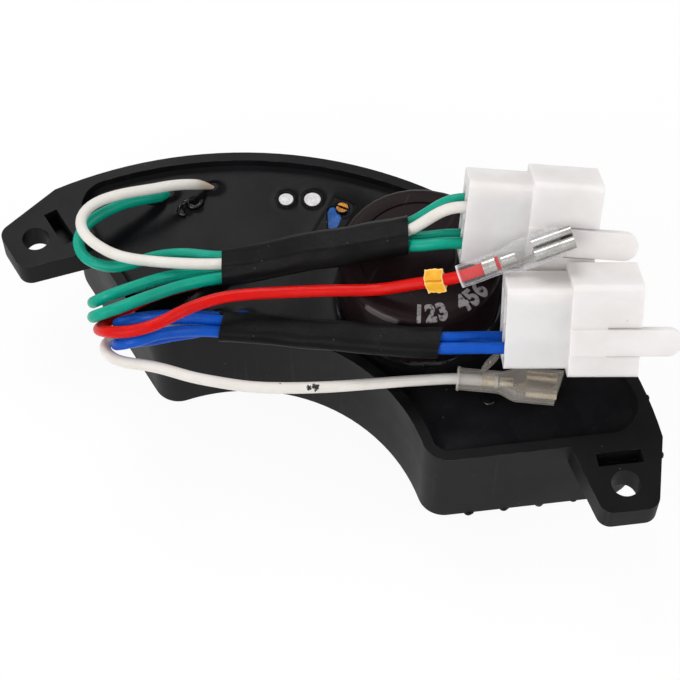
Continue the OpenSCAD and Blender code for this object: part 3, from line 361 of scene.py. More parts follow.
# places of plugs, terminals, sleeves and leads in mm, as in the part's source
plugPose = {"upper": {"at": (16.3, 9.1, 45.2), "turn": (-34, 4.5, 24)},
            "lower": {"at": (30.4, -4, 38.2), "turn": (-31, 0.8, 26.4)}}
spadePose = {"red": {"at": (20.8, -2.6, 43.8), "turn": (-26, -17, 38.4)},
             "white": {"at": (25, -10.5, 23.5), "turn": (0, 1.2, 20.2)}}
sleeveRoute = {
    "upper": [(-22.5, -12, 31.5), (-15.5, -9, 34), (-9, -6, 37), (-3, -3, 38.5), (2.5, 0.5, 39.5), (8, 3.5, 41)],
    "lower": [(-17.5, -22, 28.5), (-10.5, -19.5, 29), (-3.5, -17.5, 29.5), (3, -16, 31), (9.5, -15, 33),
              (15.5, -13.5, 34), (21.5, -11.5, 35)]}
leads = {
    "white_lead_upper": {
        "colour": "white", "diameter": 2.1, "group": "upper", "lay": (0.1, 1.2), "chamber": (-2.1, 2.4), "sunk": 5.0,
        "free": [(-36.4, 10.1, 20.8), (-38.2, 8.5, 22.8), (-39.8, 6.2, 24.8), (-42, 3.5, 26.5), (-44.5, 0.5, 27.5),
                 (-48, -3.5, 29), (-51, -7, 29.5), (-52.5, -10.5, 30), (-52, -14, 30.5), (-49.5, -16.5, 31),
                 (-46.5, -17.5, 31), (-42, -18, 31), (-35.8, -17.5, 32.4), (-28.6, -15.2, 33)],
        "exit": [(10, 5.5, 43.5), (12, 6.5, 46), (14, 7.5, 48)]},
    "green_lead_a": {
        "colour": "green", "diameter": 2.2, "group": "upper", "lay": (-2.0, 0.3), "chamber": (2.1, 2.4), "sunk": 3.6,
        "free": [(-43.5, 5, 20.8), (-44.5, 2.5, 22.5), (-46, 0, 24), (-48.5, -3.5, 25.5), (-50.5, -7, 26),
                 (-52, -10.5, 26.5), (-52.5, -13.5, 26.5), (-51.5, -16.5, 27), (-49.5, -18.5, 27),
                 (-46.5, -19.5, 27.5), (-43, -19, 27.5), (-40, -17.5, 28), (-36.5, -14.5, 29), (-31, -12, 30.5)],
        "exit": [(8.5, 7.5, 41.5), (10.5, 9, 43.5), (12.5, 10.5, 45.5)]},
    "green_lead_b": {
        "colour": "green", "diameter": 2.2, "group": "upper", "lay": (-0.2, -1.25), "chamber": (2.1, -4.6),
        "free": [(-26.3, -5.9, 20.8), (-29.3, -9.1, 22), (-32.2, -12.5, 23.4), (-35.2, -16, 24.2),
                 (-37.7, -18.9, 24.4), (-40.2, -21.6, 24.3), (-41.3, -23.3, 24.6), (-42, -25.1, 25.6),
                 (-42.1, -26.9, 27), (-41.6, -28.1, 28.6), (-40.7, -28.6, 30.2), (-39.5, -28.3, 31.6),
                 (-38.1, -27.4, 32.6), (-36.7, -26.1, 32.9), (-34.6, -23.1, 32.2), (-32.7, -20, 31.2),
                 (-30.6, -16.9, 30), (-27.3, -14.1, 29.4)],
        "exit": [(10.4, 4.7, 40), (12.4, 6, 40.2), (14, 7, 40.4)]},
    "green_lead_c": {
        "colour": "green", "diameter": 2.2, "group": "upper", "lay": (2.0, -0.3), "chamber": (-2.1, -4.6),
        "free": [(-22.6, -6.5, 20.8), (-25.3, -9.8, 22.6), (-27.9, -13.5, 24.6), (-30.6, -17.5, 26.2),
                 (-32.9, -20.9, 27), (-35, -23.6, 27.4), (-37.1, -26.4, 27.6), (-38.3, -28, 27.9),
                 (-39, -29.7, 28.9), (-39.1, -31.3, 30.3), (-38.7, -32.5, 31.9), (-37.8, -33, 33.5),
                 (-36.5, -32.8, 34.9), (-35.1, -32.1, 35.9), (-33.7, -30.9, 36.2), (-31.4, -27.6, 35.8),
                 (-29.5, -24.4, 34.7), (-27.4, -20.7, 33.3), (-24.7, -17, 31.9)],
        "exit": [(11.4, 1.7, 41.9), (13.5, 2.8, 42.5), (15.5, 3.9, 42.8)]},
    "red_lead": {
        "colour": "red", "diameter": 2.2, "spade": "red",
        "free": [(-27.9, -10.7, 20.8), (-30, -13.5, 22), (-32.4, -17, 23.3), (-34.4, -20.2, 24.2),
                 (-36.2, -23.1, 24.5), (-37.1, -24.9, 24.4), (-37.9, -27.1, 24.8), (-38.3, -29.3, 25.9),
                 (-38, -31.4, 27.5), (-37.3, -33, 29.5), (-36.1, -34, 31.5), (-34.4, -34.6, 33.1),
                 (-32.6, -34.7, 34.2), (-30.9, -34.1, 34.6), (-28.7, -32.8, 35), (-26.6, -31.3, 35.6),
                 (-25, -29.1, 35.6), (-23.6, -26.1, 35), (-21.5, -23, 34.7), (-18.7, -19.9, 34.5),
                 (-14.9, -17.3, 34.6), (-9.2, -14.4, 35), (-0.9, -10.6, 36), (7.5, -7.2, 37.2), (11.5, -5.6, 38.9),
                 (14.9, -4.3, 40.5), (18.9, -3, 42.4)]},
    "blue_lead_a": {
        "colour": "blue", "diameter": 2.2, "group": "lower", "lay": (-1.15, 0), "chamber": (2.1, -4.6),
        "free": [(-21.4, -16.1, 20.8), (-24, -18.3, 22.4), (-26.6, -20.5, 24), (-28.7, -22.3, 25.2),
                 (-30.8, -23.9, 25.6), (-33, -25.2, 25.5), (-34.3, -26.4, 25.8), (-35.1, -27.9, 26.6),
                 (-35.2, -29.4, 27.8), (-34.9, -30.5, 29.3), (-34, -31, 30.8), (-32.7, -31.1, 32),
                 (-31.2, -30.6, 32.8), (-29.7, -29.8, 33.1), (-27.5, -28.2, 32.8), (-25, -26.1, 31.8),
                 (-22, -23.4, 30.1)],
        "exit": [(23.5, -9.4, 35), (25.8, -7.6, 34.4), (28, -6, 33.6)]},
    "blue_lead_b": {
        "colour": "blue", "diameter": 2.2, "group": "lower", "lay": (1.15, 0), "chamber": (-2.1, -4.6),
        "free": [(-17, -14, 20.8), (-16.8, -14.8, 22.6), (-16.6, -15.8, 24.2), (-16.9, -17.4, 25.4),
                 (-18.1, -19.3, 25.9), (-20.6, -22.4, 25.7), (-24.2, -24.5, 24.8), (-27.4, -26.7, 24.7),
                 (-29.5, -28.5, 24.4), (-31.2, -29.4, 24.7), (-32.3, -30.4, 24.9), (-33.2, -32, 26),
                 (-33.4, -33.3, 27.1), (-33.3, -34, 28.8), (-32.3, -34.8, 30.3), (-30.9, -34.9, 31.5),
                 (-29.7, -34.2, 32.5), (-28.1, -33.6, 32.8), (-26.5, -31.3, 32.7), (-23.8, -28.4, 31.4),
                 (-21, -25.5, 29.7)],
        "exit": [(24.2, -11.6, 35.2), (26.8, -10.4, 35.4), (29.3, -9.2, 35.4)]},
    "white_lead_lower": {
        "colour": "white", "diameter": 2.1, "spade": "white",
        "free": [(-26.3, -20.7, 20.8), (-27.2, -22.3, 22.4), (-28.2, -24.3, 24.2), (-30.4, -26, 24.5),
                 (-32.6, -27.7, 24.5), (-34.3, -29.3, 24.7), (-35.6, -31.2, 25.3), (-36, -33, 26.1),
                 (-35.6, -34.6, 27), (-34.3, -35.9, 27.9), (-32.4, -36.9, 28.8), (-30.1, -37.2, 29.4),
                 (-27.4, -36.5, 29.7), (-25, -35.7, 29.6), (-21.3, -34.9, 29.3), (-17.7, -34.2, 28.7),
                 (-12.4, -32.5, 28), (-7.3, -30.6, 27.3), (-0.9, -27.2, 26.4), (5.3, -23.4, 25.6), (11.5, -19.3, 25),
                 (17.7, -15.3, 24.5), (21.8, -12.7, 24.1)]},
}


# form of every lead, in mm: waver goes round it and swell along it, as share of the radius and pace of the wave; grip
# is the bulge past a terminal's grip, as share, place before the end and width
leadForm = {"around": 20, "step": 0.6, "waver": (0.012, 3.1), "swell": (0.01, 8.3), "grip": (0.2, 0.4, 0.5),
            "thinnest": 0.3}


def sideways(route):
    # horizontal direction square to a sleeve's overall run
    d = unit(np.subtract(route[-1], route[0])[:2])
    return np.array([d[1], -d[0], 0])


def leadRoute(spec):
    # free stretch, then the sleeve's middle line moved to the lead's own place in it, then the exit and the plug
    route = [np.array(spec["free"], float)]
    if "group" in spec:
        middle = np.array(sleeveRoute[spec["group"]], float)
        route.append(middle + spec["lay"][0] * sideways(middle) + np.array([0, 0, spec["lay"][1]]))
        route.append(np.array(spec["exit"], float))
        y, z = spec["chamber"]
        route.append(posed(plugPose[spec["group"]], [(-0.5, y, z), (3.5, y, z)]) / mm)
    else:
        route.append(posed(spadePose[spec["spade"]], [(0, 0, 0), (7.6, 0, 0)]) / mm)
    return np.vstack(route)


def makeLeads():
    c, a = leadForm, turns(leadForm["around"])
    for number, (name, spec) in enumerate(leads.items()):
        path = evenPath(leadRoute(spec), c["step"])
        run = runOf(path)
        along = run[:, None]
        share = 1 + c["waver"][0] * np.sin(along / c["waver"][1] + 2 * number) * np.cos(a + number)
        share = share + c["swell"][0] * np.sin(along / c["swell"][1] + number)
        if "spade" in spec:
            share = share + c["grip"][0] * np.exp(-((along - run[-1] + c["grip"][1]) / c["grip"][2]) ** 2)
        # the leads thin out at the root, slowly where one dives at a slant and the compound laps over it
        root = smoothStep(along / spec.get("sunk", 0.01)) ** 0.6
        share = share * (c["thinnest"] + (1 - c["thinnest"]) * root)
        grid = tube(path, spec["diameter"] / 2 * share) * mm
        obj = gridPiece(name + "Skin", grid, leadFinishes[spec["colour"]], run=run * mm)
        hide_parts(name)
        spec["piece"], spec["path"], spec["length"] = obj, path * mm, run[-1] * mm


makeLeads()
print("leads made:", {n: round(s["length"] * 1000) for n, s in leads.items()})

# heat-shrink sleeves over the two groups of leads, in mm; pressed is the share of the lobes' depth away from the ends,
# endReach a share of the length, and waves are height and pace along and across
shrinkage = {"upper": {"width": 7.5, "height": 5.7, "wall": 0.35, "lobes": 4, "lobeDepth": 0.16},
             "lower": {"width": 6.0, "height": 3.7, "wall": 0.35, "lobes": 2, "lobeDepth": 0.14}}
shrinkForm = {"step": 0.4, "soften": 1.0, "around": 96, "pressed": 0.35, "endReach": 0.09, "innerShare": 0.9,
              "waves": [(0.05, 9 * math.pi, 3), (0.04, 23, 5)]}


def shrinkFinish():
    m = Finish("heatShrink", Specular_IOR_Level=0.07)
    grain = m.noise(0.00035, 4)
    scuff = m.ramp(m.noise(0.003, 5, 0.65), 0.56, 0.72)
    tone = m.tones(m.noise(0.005), "0b0b0c", "101011")
    tone = m.tint(tone, scuff * 0.2, "282828")
    tone = m.tint(tone, m.specks(0.0021, 0.05) * 0.45, "8a8884")
    return m.feed(Base_Color=tone, Roughness=m.span(grain, 0.4, 0.54),
                  Normal=m.bump(grain * 0.6 + m.noise(0.0012) * 0.8, 0.00006, 0.6))


shrink = shrinkFinish()


def oblongTurns(count):
    # steps round an oblong, moved on a little so that none falls where its two halves meet
    return turns(count) + 0.01


def oblong(a, w, h):
    # a stadium outline: two half circles moved apart along the width
    c, s = np.cos(a), np.sin(a)
    return np.stack([np.clip(c * 1e3, -1, 1) * (w - h) / 2 + c * h / 2, s * h / 2], -1)


def makeSleeves():
    # a stadium carried along the sleeve's middle line, outer wall out and inner wall back
    c, up = shrinkForm, np.array([0, 0, 1.0])
    for group, spec in shrinkage.items():
        route = np.array(sleeveRoute[group], float)
        path, side = evenPath(route, c["step"], c["soften"]), sideways(route)
        a = oblongTurns(c["around"])
        v = np.linspace(0, 1, len(path))[:, None]
        outer = oblong(a, spec["width"], spec["height"])
        inner = oblong(a, spec["width"] - 2 * spec["wall"], spec["height"] - 2 * spec["wall"])
        # the leads inside press soft lobes into the flat faces, strongest at the ends
        x = outer[:, 0] / spec["width"] * 2
        lobe = spec["lobeDepth"] * np.cos(math.pi * spec["lobes"] * x) * (abs(x) < 0.95)
        press = c["pressed"] + (1 - c["pressed"]) * np.exp(-np.minimum(v, 1 - v) / c["endReach"])
        wave = sum(high * np.sin(along * v + across * x) for high, along, across in c["waves"])
        lift = (lobe * press + wave) * np.sign(outer[:, 1])
        walls = [path[:, None] + s[None, :, :1] * side + (s[None, :, 1:] + lift[..., None] * k) * up
                 for s, k in ((outer, 1.0), (inner, c["innerShare"]))]
        loop = np.concatenate([walls[0], walls[1][::-1]])[:, ::-1] * mm
        obj = gridPiece(group + "ShrinkSkin", loop, shrink, ring=True)
        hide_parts(group + "_shrink_sleeve")
        spec["piece"] = obj


makeSleeves()
print("sleeves made")


def caseFinish():
    m = Finish("mouldedCase", Specular_IOR_Level=0.065)
    grain = m.noise(0.0002, 3, 0.7)
    cloud = m.noise(0.014, 4)
    scuff = m.ramp(m.noise(0.0011, 5, 0.7), 0.64, 0.78)
    # upright drag lines that the mould left on the walls
    drag = m.drawn(m.place(), (700.0, 700.0, 35.0))
    # the faces that look up came off a polished mould face and are smoother; their darker colour is painted shade
    # rounded edges that tilt upwards carry a painted highlight, partly real wear
    up = m.split(m.node("ShaderNodeNewGeometry", output="Normal"))[2]
    flat = m.ramp(up, 0.8, 0.97)
    # painted highlight, partly real wear, on rounded edges that tilt upwards
    worn = m.ramp(up, 0.12, 0.45) * m.ramp(up, 0.95, 0.75) * m.ramp(m.noise(0.0025, 4), 0.4, 0.62)
    tone = m.tones(cloud, "131315", "19191b")
    tone = m.tint(tone, m.ramp(drag, 0.6, 0.75) * 0.2, "3c3b3f")
    tone = m.tint(tone, scuff * 0.15, "403f43")
    # painted shade: the faces that look up take a darker tone than the walls
    tone = m.mix(flat, tone, m.tones(cloud, "0a0a0b", "101011"))
    tone = m.tint(tone, worn * 0.6, "737275")
    tone = m.tint(tone, m.specks(0.0034, 0.035) * 0.45, "85827c")
    return m.feed(Base_Color=tone, Roughness=m.span(cloud + (grain - 0.5) * 0.5, 0.42, 0.54) - flat * 0.14,
                  Normal=m.bump(grain * 0.6 + drag * 0.5 + m.noise(0.003) * 0.6, 0.00005, 0.5))


casePlastic = caseFinish()
softened("caseShell", "case", casePlastic, 0.28, segments=3)

# what the mould left on the case, in mm: where the ribs run out under the end wall, and two bits of flash on the rim
mouldMarks = {"ribEnds": [(34.6, -23.5, 0.62), (40.25, -19.7, 0.62), (45.87, -15.97, 0.62), (51.35, -12.2, 0.62)],
              "ribSize": (0.95, 0.75, 0.6), "ribTurn": 33.9,
              "flash": [(58.6, 1.9, 22.6), (65.2, -8.2, 22.4)], "flashSize": (0.7, 0.35, 0.3), "flashTurn": -62.0}


def bead(name, centre, size, turn, finish):
    # an ellipsoid with a slightly uneven radius, turned about Z
    lat, lon = np.linspace(-1.5, 1.5, 18)[:, None], turns(28)
    uneven = 1 + 0.06 * np.sin(3 * lon + 5 * lat + centre[0])
    x, y = size[0] * np.cos(lat) * np.cos(lon) * uneven, size[1] * np.cos(lat) * np.sin(lon) * uneven
    c, d = math.cos(math.radians(turn)), math.sin(math.radians(turn))
    grid = np.stack([c * x - d * y, d * x + c * y, size[2] * np.sin(lat) * uneven], -1) + np.array(centre)
    obj = gridPiece(name, grid * mm, finish)
    return obj


for i, spot in enumerate(mouldMarks["ribEnds"]):
    bead(f"ribEnd.{i}", spot, mouldMarks["ribSize"], mouldMarks["ribTurn"], casePlastic)
caseFaces = nodes["case"].data
caseSurface = BVHTree.FromPolygons([v.co for v in caseFaces.vertices], [p.vertices for p in caseFaces.polygons])
for i, spot in enumerate(mouldMarks["flash"]):
    # the flash sits at the point of the case nearest to where it shows
    spot = np.array(caseSurface.find_nearest(Vector(spot) * mm)[0]) / mm
    bead(f"rimFlash.{i}", spot, mouldMarks["flashSize"], mouldMarks["flashTurn"], casePlastic)
print("case made")

# compound: a patch between the tray's four inner edges, in mm about the arc's middle; caseHigh and caseLow are how far
# the case reaches over that middle in Y, closer is where rows crowd along the edge, climb is (height, reach) at what
# stands in it and dip the hollow inside that, window is the bare spot on the trimmer, lumps are (x, y, size, height,
# hollow)
compound = {"caseHigh": 79, "caseLow": 25.1155, "level": 20.8, "floor": 3.05, "along": 470, "across": 195,
            "outerR": 77.04, "innerR": 36.76, "innerShift": 2.4, "endAngle": 33, "endOffset": 6.66,
            "innerCorner": 3.0, "outerCorner": 6.0, "closer": (0.56, 0.09, 1.6), "creep": 0.45, "creepReach": 0.8,
            "cover": 0.24, "coverReach": 0.7, "screwGap": 0.05, "dip": 0.8, "leadClimb": (0.5, 0.45),
            "climb": {"capacitor_sleeve": (0.8, 0.9), "small_capacitor_left": (0.2, 0.35),
                      "small_capacitor_right": (0.2, 0.35)},
            "window": [(-13.89, 15.21), (-13.17, 15.96), (-10.66, 14.37), (-10.5, 11.8), (-11.73, 11.21)],
            "lumps": [(-38.3, 4.6, 1.3, 0.3, 0.4), (-39.2, 2.6, 1.0, 0.25, 0.0), (31.6, -10.8, 0.9, 0.1, 0.0),
                      (41.5, -8.0, 0.3, 0.1, 0.0)]}
arcY = -(compound["caseHigh"] + compound["caseLow"]) / 2


def compoundEdge(inner):
    # one long edge from the right end to the left: corner arc, wall arc, and the corner's mirror image
    c = compound
    e, ang = c["endOffset"], math.radians(c["endAngle"])
    r = c["innerCorner"] if inner else c["outerCorner"]
    centre = np.array([0, c["innerShift"]]) if inner else np.zeros(2)
    cs, sn = math.cos(ang), math.sin(ang)
    local = np.array([centre @ [cs, sn], centre @ [-sn, cs]])
    reach = c["innerR"] + r if inner else c["outerR"] - r
    t = e + r
    s = local[0] + math.sqrt(reach**2 - (t - local[1]) ** 2)
    mid = np.array([s * cs - t * sn, s * sn + t * cs])
    foot = np.array([s * cs - e * sn, s * sn + e * cs])
    toward = unit(centre - mid) if inner else unit(mid - centre)
    a0, a1 = math.atan2(*(foot - mid)[::-1]), math.atan2(*toward[::-1])
    a = a0 + ((a1 - a0 + math.pi) % (2 * math.pi) - math.pi) * np.linspace(0, 1, 60)
    corner = mid + r * np.stack([np.cos(a), np.sin(a)], -1)
    b0 = math.atan2(*(corner[-1] - centre)[::-1])
    b = np.linspace(b0, math.pi - b0, 600)
    arc = centre + (c["innerR"] if inner else c["outerR"]) * np.stack([np.cos(b), np.sin(b)], -1)
    whole = np.vstack([corner, arc[1:-1], corner[::-1] * [-1, 1]])
    run = runOf(whole)
    # rows stand closer together by the trimmer and the small capacitors
    k = np.linspace(0, 1, 2000)
    dense = np.cumsum(1 + c["closer"][2] * np.exp(-((k - c["closer"][0]) / c["closer"][1]) ** 2))
    dense = (dense - dense[0]) / (dense[-1] - dense[0])
    even = np.interp(np.linspace(0, 1, c["along"]), dense, k) * run[-1]
    return np.stack([np.interp(even, run, whole[:, i]) for i in range(2)], -1)


def compoundHeight(x, y):
    # level plus creep up the walls and round whatever stands in it, a thin cover over the trimmer with a bare window,
    # lumps and slow waves
    c = compound

    def rise(distance, height, reach):
        return height * np.exp(-np.maximum(distance, 0) / reach)

    ang, yy = math.radians(c["endAngle"]), y - arcY
    wallGap = np.minimum.reduce([c["outerR"] - np.hypot(x, yy), np.hypot(x, yy - c["innerShift"]) - c["innerR"],
                                 -abs(x) * math.sin(ang) + yy * math.cos(ang) - c["endOffset"]])
    z = rise(wallGap, c["creep"], c["creepReach"])
    for node, (height, reach) in c["climb"].items():
        middle, radius, _, _ = upright(node)
        out = np.hypot(x - middle[0], y - middle[1]) - radius
        z = z + rise(out, height, reach) - c["dip"] * smoothStep(-out / 0.4 - 0.3)
    for spec in leads.values():
        start, ahead = np.array(spec["free"][0][:2]), np.array(spec["free"][1][:2])
        drift = unit(ahead - start)
        dx, dy = x - start[0], y - start[1]
        along, aside = dx * drift[0] + dy * drift[1], dy * drift[0] - dx * drift[1]
        out = np.hypot(np.where(along > 0, along * 0.7, along), aside) - spec["diameter"] / 2
        z = z + rise(out, *c["leadClimb"])
    lo, hi = np.array(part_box("trimmer_body")) / mm
    out = np.hypot(np.maximum(abs(x - (lo[0] + hi[0]) / 2) - (hi[0] - lo[0]) / 2, 0),
                   np.maximum(abs(y - (lo[1] + hi[1]) / 2) - (hi[1] - lo[1]) / 2, 0))
    cover = hi[2] - c["level"] + c["cover"]
    z = z + rise(out, cover, c["coverReach"])
    corners = np.array(c["window"])
    sides = np.roll(corners, -1, axis=0) - corners
    bare = np.minimum.reduce([((y - p[1]) * s[0] - (x - p[0]) * s[1]) / -np.hypot(*s) for p, s in zip(corners, sides)])
    z = z - (cover + 0.5) * smoothStep((bare + 0.3) / 0.5)
    middle, radius, _, _ = upright("trimmer_screw")
    ring = np.hypot(x - middle[0], y - middle[1]) - radius
    z = z - (cover + 0.3) * smoothStep((c["screwGap"] + 0.25 - ring) / 0.25) + 0.12 * np.exp(-((ring - 0.9) / 0.3) ** 2)
    for lx, ly, size, height, hollow in c["lumps"]:
        d = np.hypot(x - lx, y - ly) * (1 + 0.18 * np.sin(3 * np.arctan2(y - ly, x - lx) + lx))
        z = z + height * (np.exp(-((d / (1.2 * size)) ** 4)) - hollow * np.exp(-((d / (0.6 * size)) ** 2)))
    return c["level"] + z + 0.05 * np.sin(x / 5.3 + 0.4) * np.cos(yy / 6.1) + 0.03 * np.sin(x / 2.9 + yy / 3.7)


def compoundFinish():
    m = Finish("pottingCompound", Specular_IOR_Level=0.045)
    cloud = m.noise(0.012)
    tone = m.tones(cloud, "0f0f11", "161618")
    tone = m.tint(tone, m.specks(0.0042, 0.03) * 0.5, "8c8983")
    return m.feed(Base_Color=tone, Roughness=m.span(cloud, 0.2, 0.32),
                  Normal=m.bump(m.noise(0.006, 2) * 0.8 + m.noise(0.0015, 2) * 0.15, 0.0002, 0.35))


potting = compoundFinish()


def makeCompound():
    # two long edges blended straight across, with the level of each point worked out afterwards
    inner, outer = compoundEdge(True), compoundEdge(False)
    u = np.linspace(0, 1, compound["across"])
    u = (0.5 - 0.5 * np.cos(math.pi * u)) * 0.55 + u * 0.45
    plan = inner[:, None] * (1 - u[None, :, None]) + outer[:, None] * u[None, :, None] + [0, arcY]
    top = np.concatenate([plan, compoundHeight(plan[..., 0], plan[..., 1])[..., None]], -1) * mm
    obj = gridPiece("compoundFill", top, potting, wrap=False, skirt=compound["floor"] * mm)
    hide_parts("potting_compound")


makeCompound()

# drips of compound that set in strings, as middle lines in mm; the last number of each point is the thickness there
drips = {"swirl": [(-37.6, 6.9, 20.9, 0.35), (-36.9, 5.9, 21.3, 0.5), (-37.1, 4.4, 21.4, 0.5), (-38.3, 3.7, 21.4, 0.5),
                   (-39.2, 4.6, 21.4, 0.45), (-39.0, 5.6, 21.3, 0.4), (-39.9, 4.4, 21.2, 0.45), (-40.2, 2.9, 21.2, 0.5),
                   (-39.5, 1.7, 21.2, 0.6), (-38.4, 1.7, 21.0, 0.5)],
         "curl": [(30.6, -9.9, 20.9, 0.14), (30.8, -11.1, 21.0, 0.22), (31.3, -11.9, 21.1, 0.2),
                  (32.1, -11.7, 21.2, 0.3), (32.8, -10.9, 21.2, 0.28), (32.6, -10.1, 21.0, 0.2)],
         "root": [(-47.2, 1.0, 20.9, 0.25), (-46.2, 1.5, 21.1, 0.35), (-45.0, 2.0, 21.1, 0.3),
                  (-44.0, 2.8, 20.9, 0.25)]}


def dripFinish():
    m = Finish("wetCompound", Specular_IOR_Level=0.35)
    cloud = m.noise(0.0012)
    return m.feed(Base_Color=m.tones(cloud, "08080a", "101014"),
                  Roughness=m.span(cloud, 0.05, 0.16), Normal=m.bump(cloud, 0.0002, 0.15))


wet = dripFinish()


def makeDrips():
    # a circle carried along each middle line, swelling and thinning with it
    for name, points in drips.items():
        points = np.array(points)
        path = evenPath(points[:, :3], 0.12, 0.3)
        run, marks = runOf(path), runOf(points[:, :3])
        thick = np.interp(run, marks * run[-1] / marks[-1], points[:, 3])
        radius = thick[:, None] * (1 + 0.15 * np.sin(run[:, None] * 2.1 + 2 * turns(20)))
        gridPiece("compoundDrip." + name, tube(path, radius) * mm, wet)


makeDrips()
print("compound made")

# main capacitor, in mm; the figures on its top are plain numerals on an arc, the fillet is compound that climbed it
canSpec = {"shoulder": 1.7, "lipWidth": 3.7, "lipStep": 0.28, "lipRound": 0.12, "film": 0.4, "dish": 0.15,
           "around": 180, "figures": "123 456", "figureFrom": -67.0, "figureStep": 9.2, "figureFoot": 14.7,
           "figureHigh": 3.4, "figureWide": 0.85, "figureBold": 0.045, "figureGrain": 0.016,
           "figureThick": 0.06, "figureLift": 0.01,
           # paintedSheen places a painted reflection on the shoulder: share of a turn, reach, height and width
           "paintedSheen": {"turn": 0.738, "reach": 0.05, "high": 34.15, "wide": 0.75},
           "fillet": {"reach": 1.0, "hollow": 0.98, "bite": 0.15, "sink": 0.2, "wave": 0.12, "around": 160}}


def lathe(name, profile, centre, finish, around=96, ripple=None):
    # a profile of (radius, height) turned about an upright axis; ripple adds to the radius by angle and height
    a, prof = turns(around), np.asarray(profile, float)
    r, z = prof[:, :1], prof[:, 1:]
    if ripple is not None:
        r = r + ripple(a, z, r)
    return gridPiece(name, about(centre, r, a, z) * mm, finish, run=runOf(prof))


def jacketFinish():
    m = Finish("capacitorJacket", Specular_IOR_Level=0.055)
    cloud = m.noise(0.008, 4)
    scratch = m.drawn(m.place(), (900.0, 90.0, 90.0), 0.6, 2)
    tone = m.tones(cloud, "1b1214", "23181a", high=0.72)
    tone = m.tint(tone, m.ramp(scratch, 0.66, 0.74) * 0.25, "453a3c")
    # a painted reflection: a pale stretch of the shoulder, by its share of a turn and its height
    sheenSpot = canSpec["paintedSheen"]
    turn, height = m.split(m.uv())[0], m.split(m.place())[2] / mm
    paintedHighlight = m.ramp((turn - sheenSpot["turn"]) ** 2, sheenSpot["reach"] ** 2, 0.0)
    paintedHighlight = paintedHighlight * m.ramp((height - sheenSpot["high"]) ** 2, sheenSpot["wide"] ** 2, 0.0)
    # the painted reflection, with a ragged edge
    tone = m.tint(tone, m.ramp(paintedHighlight + (m.noise(0.0012, 4) - 0.5) * 0.6, 0.25, 0.6) * 0.6, "6f6668")
    tone = m.tint(tone, m.specks(0.0019, 0.04) * 0.45, "8b8582")
    return m.feed(Base_Color=tone, Roughness=m.span(cloud, 0.26, 0.4),
                  Normal=m.bump(m.noise(0.0004) + m.noise(0.002) * 0.7, 0.00004, 0.5))


def printFinish():
    m = Finish("printInk", Specular_IOR_Level=0.1)
    worn = m.ramp(m.noise(0.0006, 4), 0.5, 0.68)
    return m.feed(Base_Color=m.mix(worn, rgb("8e8a8c"), rgb("4b4547")), Roughness=m.ramp(worn, 0, 1, 0.5, 0.62),
                  Normal=m.bump(m.noise(0.0003), 0.00002, 0.4))


jacket, ink = jacketFinish(), printFinish()


def pointsOf(mesh):
    flat = np.empty(len(mesh.vertices) * 3)
    mesh.vertices.foreach_get("co", flat)
    return flat.reshape(-1, 3)


def makeFigures(centre, radius, top):
    # each numeral is a thin solid laid along the arc, its foot outwards, and draped over the rounded shoulder
    c = canSpec
    points, faces, count = [], [], 0
    for number, figure in enumerate(c["figures"]):
        if figure == " ":
            continue
        curve = bpy.data.curves.new("figure", "FONT")
        curve.body, curve.align_x, curve.resolution_u = figure, "CENTER", 5
        curve.extrude, curve.offset = c["figureThick"], c["figureBold"]
        holder = bpy.data.objects.new("figure", curve)
        scene.collection.objects.link(holder)
        # one closed skin of small faces, so that the long strokes can follow the shoulder
        skin = holder.modifiers.new("skin", "REMESH")
        skin.mode, skin.voxel_size = "VOXEL", c["figureGrain"]
        mesh = bpy.data.meshes.new_from_object(holder.evaluated_get(bpy.context.evaluated_depsgraph_get()))
        flat = pointsOf(mesh)
        high = flat[:, 1].max()
        turn = math.radians(c["figureFrom"] + c["figureStep"] * number)
        r = c["figureFoot"] - flat[:, 1] / high * c["figureHigh"]
        a = turn + flat[:, 0] / high * c["figureHigh"] * c["figureWide"] / r
        over = np.clip(r - radius + c["shoulder"], 0, None)
        z = top - c["shoulder"] + np.sqrt(c["shoulder"] ** 2 - over**2) + c["figureLift"] + flat[:, 2]
        points.append(about(centre, r, a, z))
        faces += [[i + count for i in p.vertices] for p in mesh.polygons]
        count += len(flat)
        bpy.data.objects.remove(holder)
        bpy.data.curves.remove(curve)
        bpy.data.meshes.remove(mesh)
    mesh = bpy.data.meshes.new("capacitorFigures")
    mesh.from_pydata((np.vstack(points) * mm).tolist(), [], faces)
    mesh.update()
    addPiece("capacitorFigures", mesh, ink)


def makeFillet(centre, radius):
    # a hollow quarter round turned about the capacitor, its height rising and falling five times
    c, level = canSpec["fillet"], compound["level"]
    q, out, low = np.linspace(math.pi / 2, 0, 8), radius + c["reach"], level - c["sink"]
    back = [(out, low), (radius - c["bite"], low), (radius - c["bite"], level + c["reach"])]
    hollow = np.stack([out - c["hollow"] * np.cos(q), level + c["reach"] - c["hollow"] * np.sin(q)], -1)
    r, z = np.vstack([back, hollow]).T
    a = turns(c["around"])[:, None]
    grid = about(centre, r, a, z + c["wave"] * np.sin(5 * a) * (z > level))
    gridPiece("capacitorFillet", grid * mm, wet, ring=True)


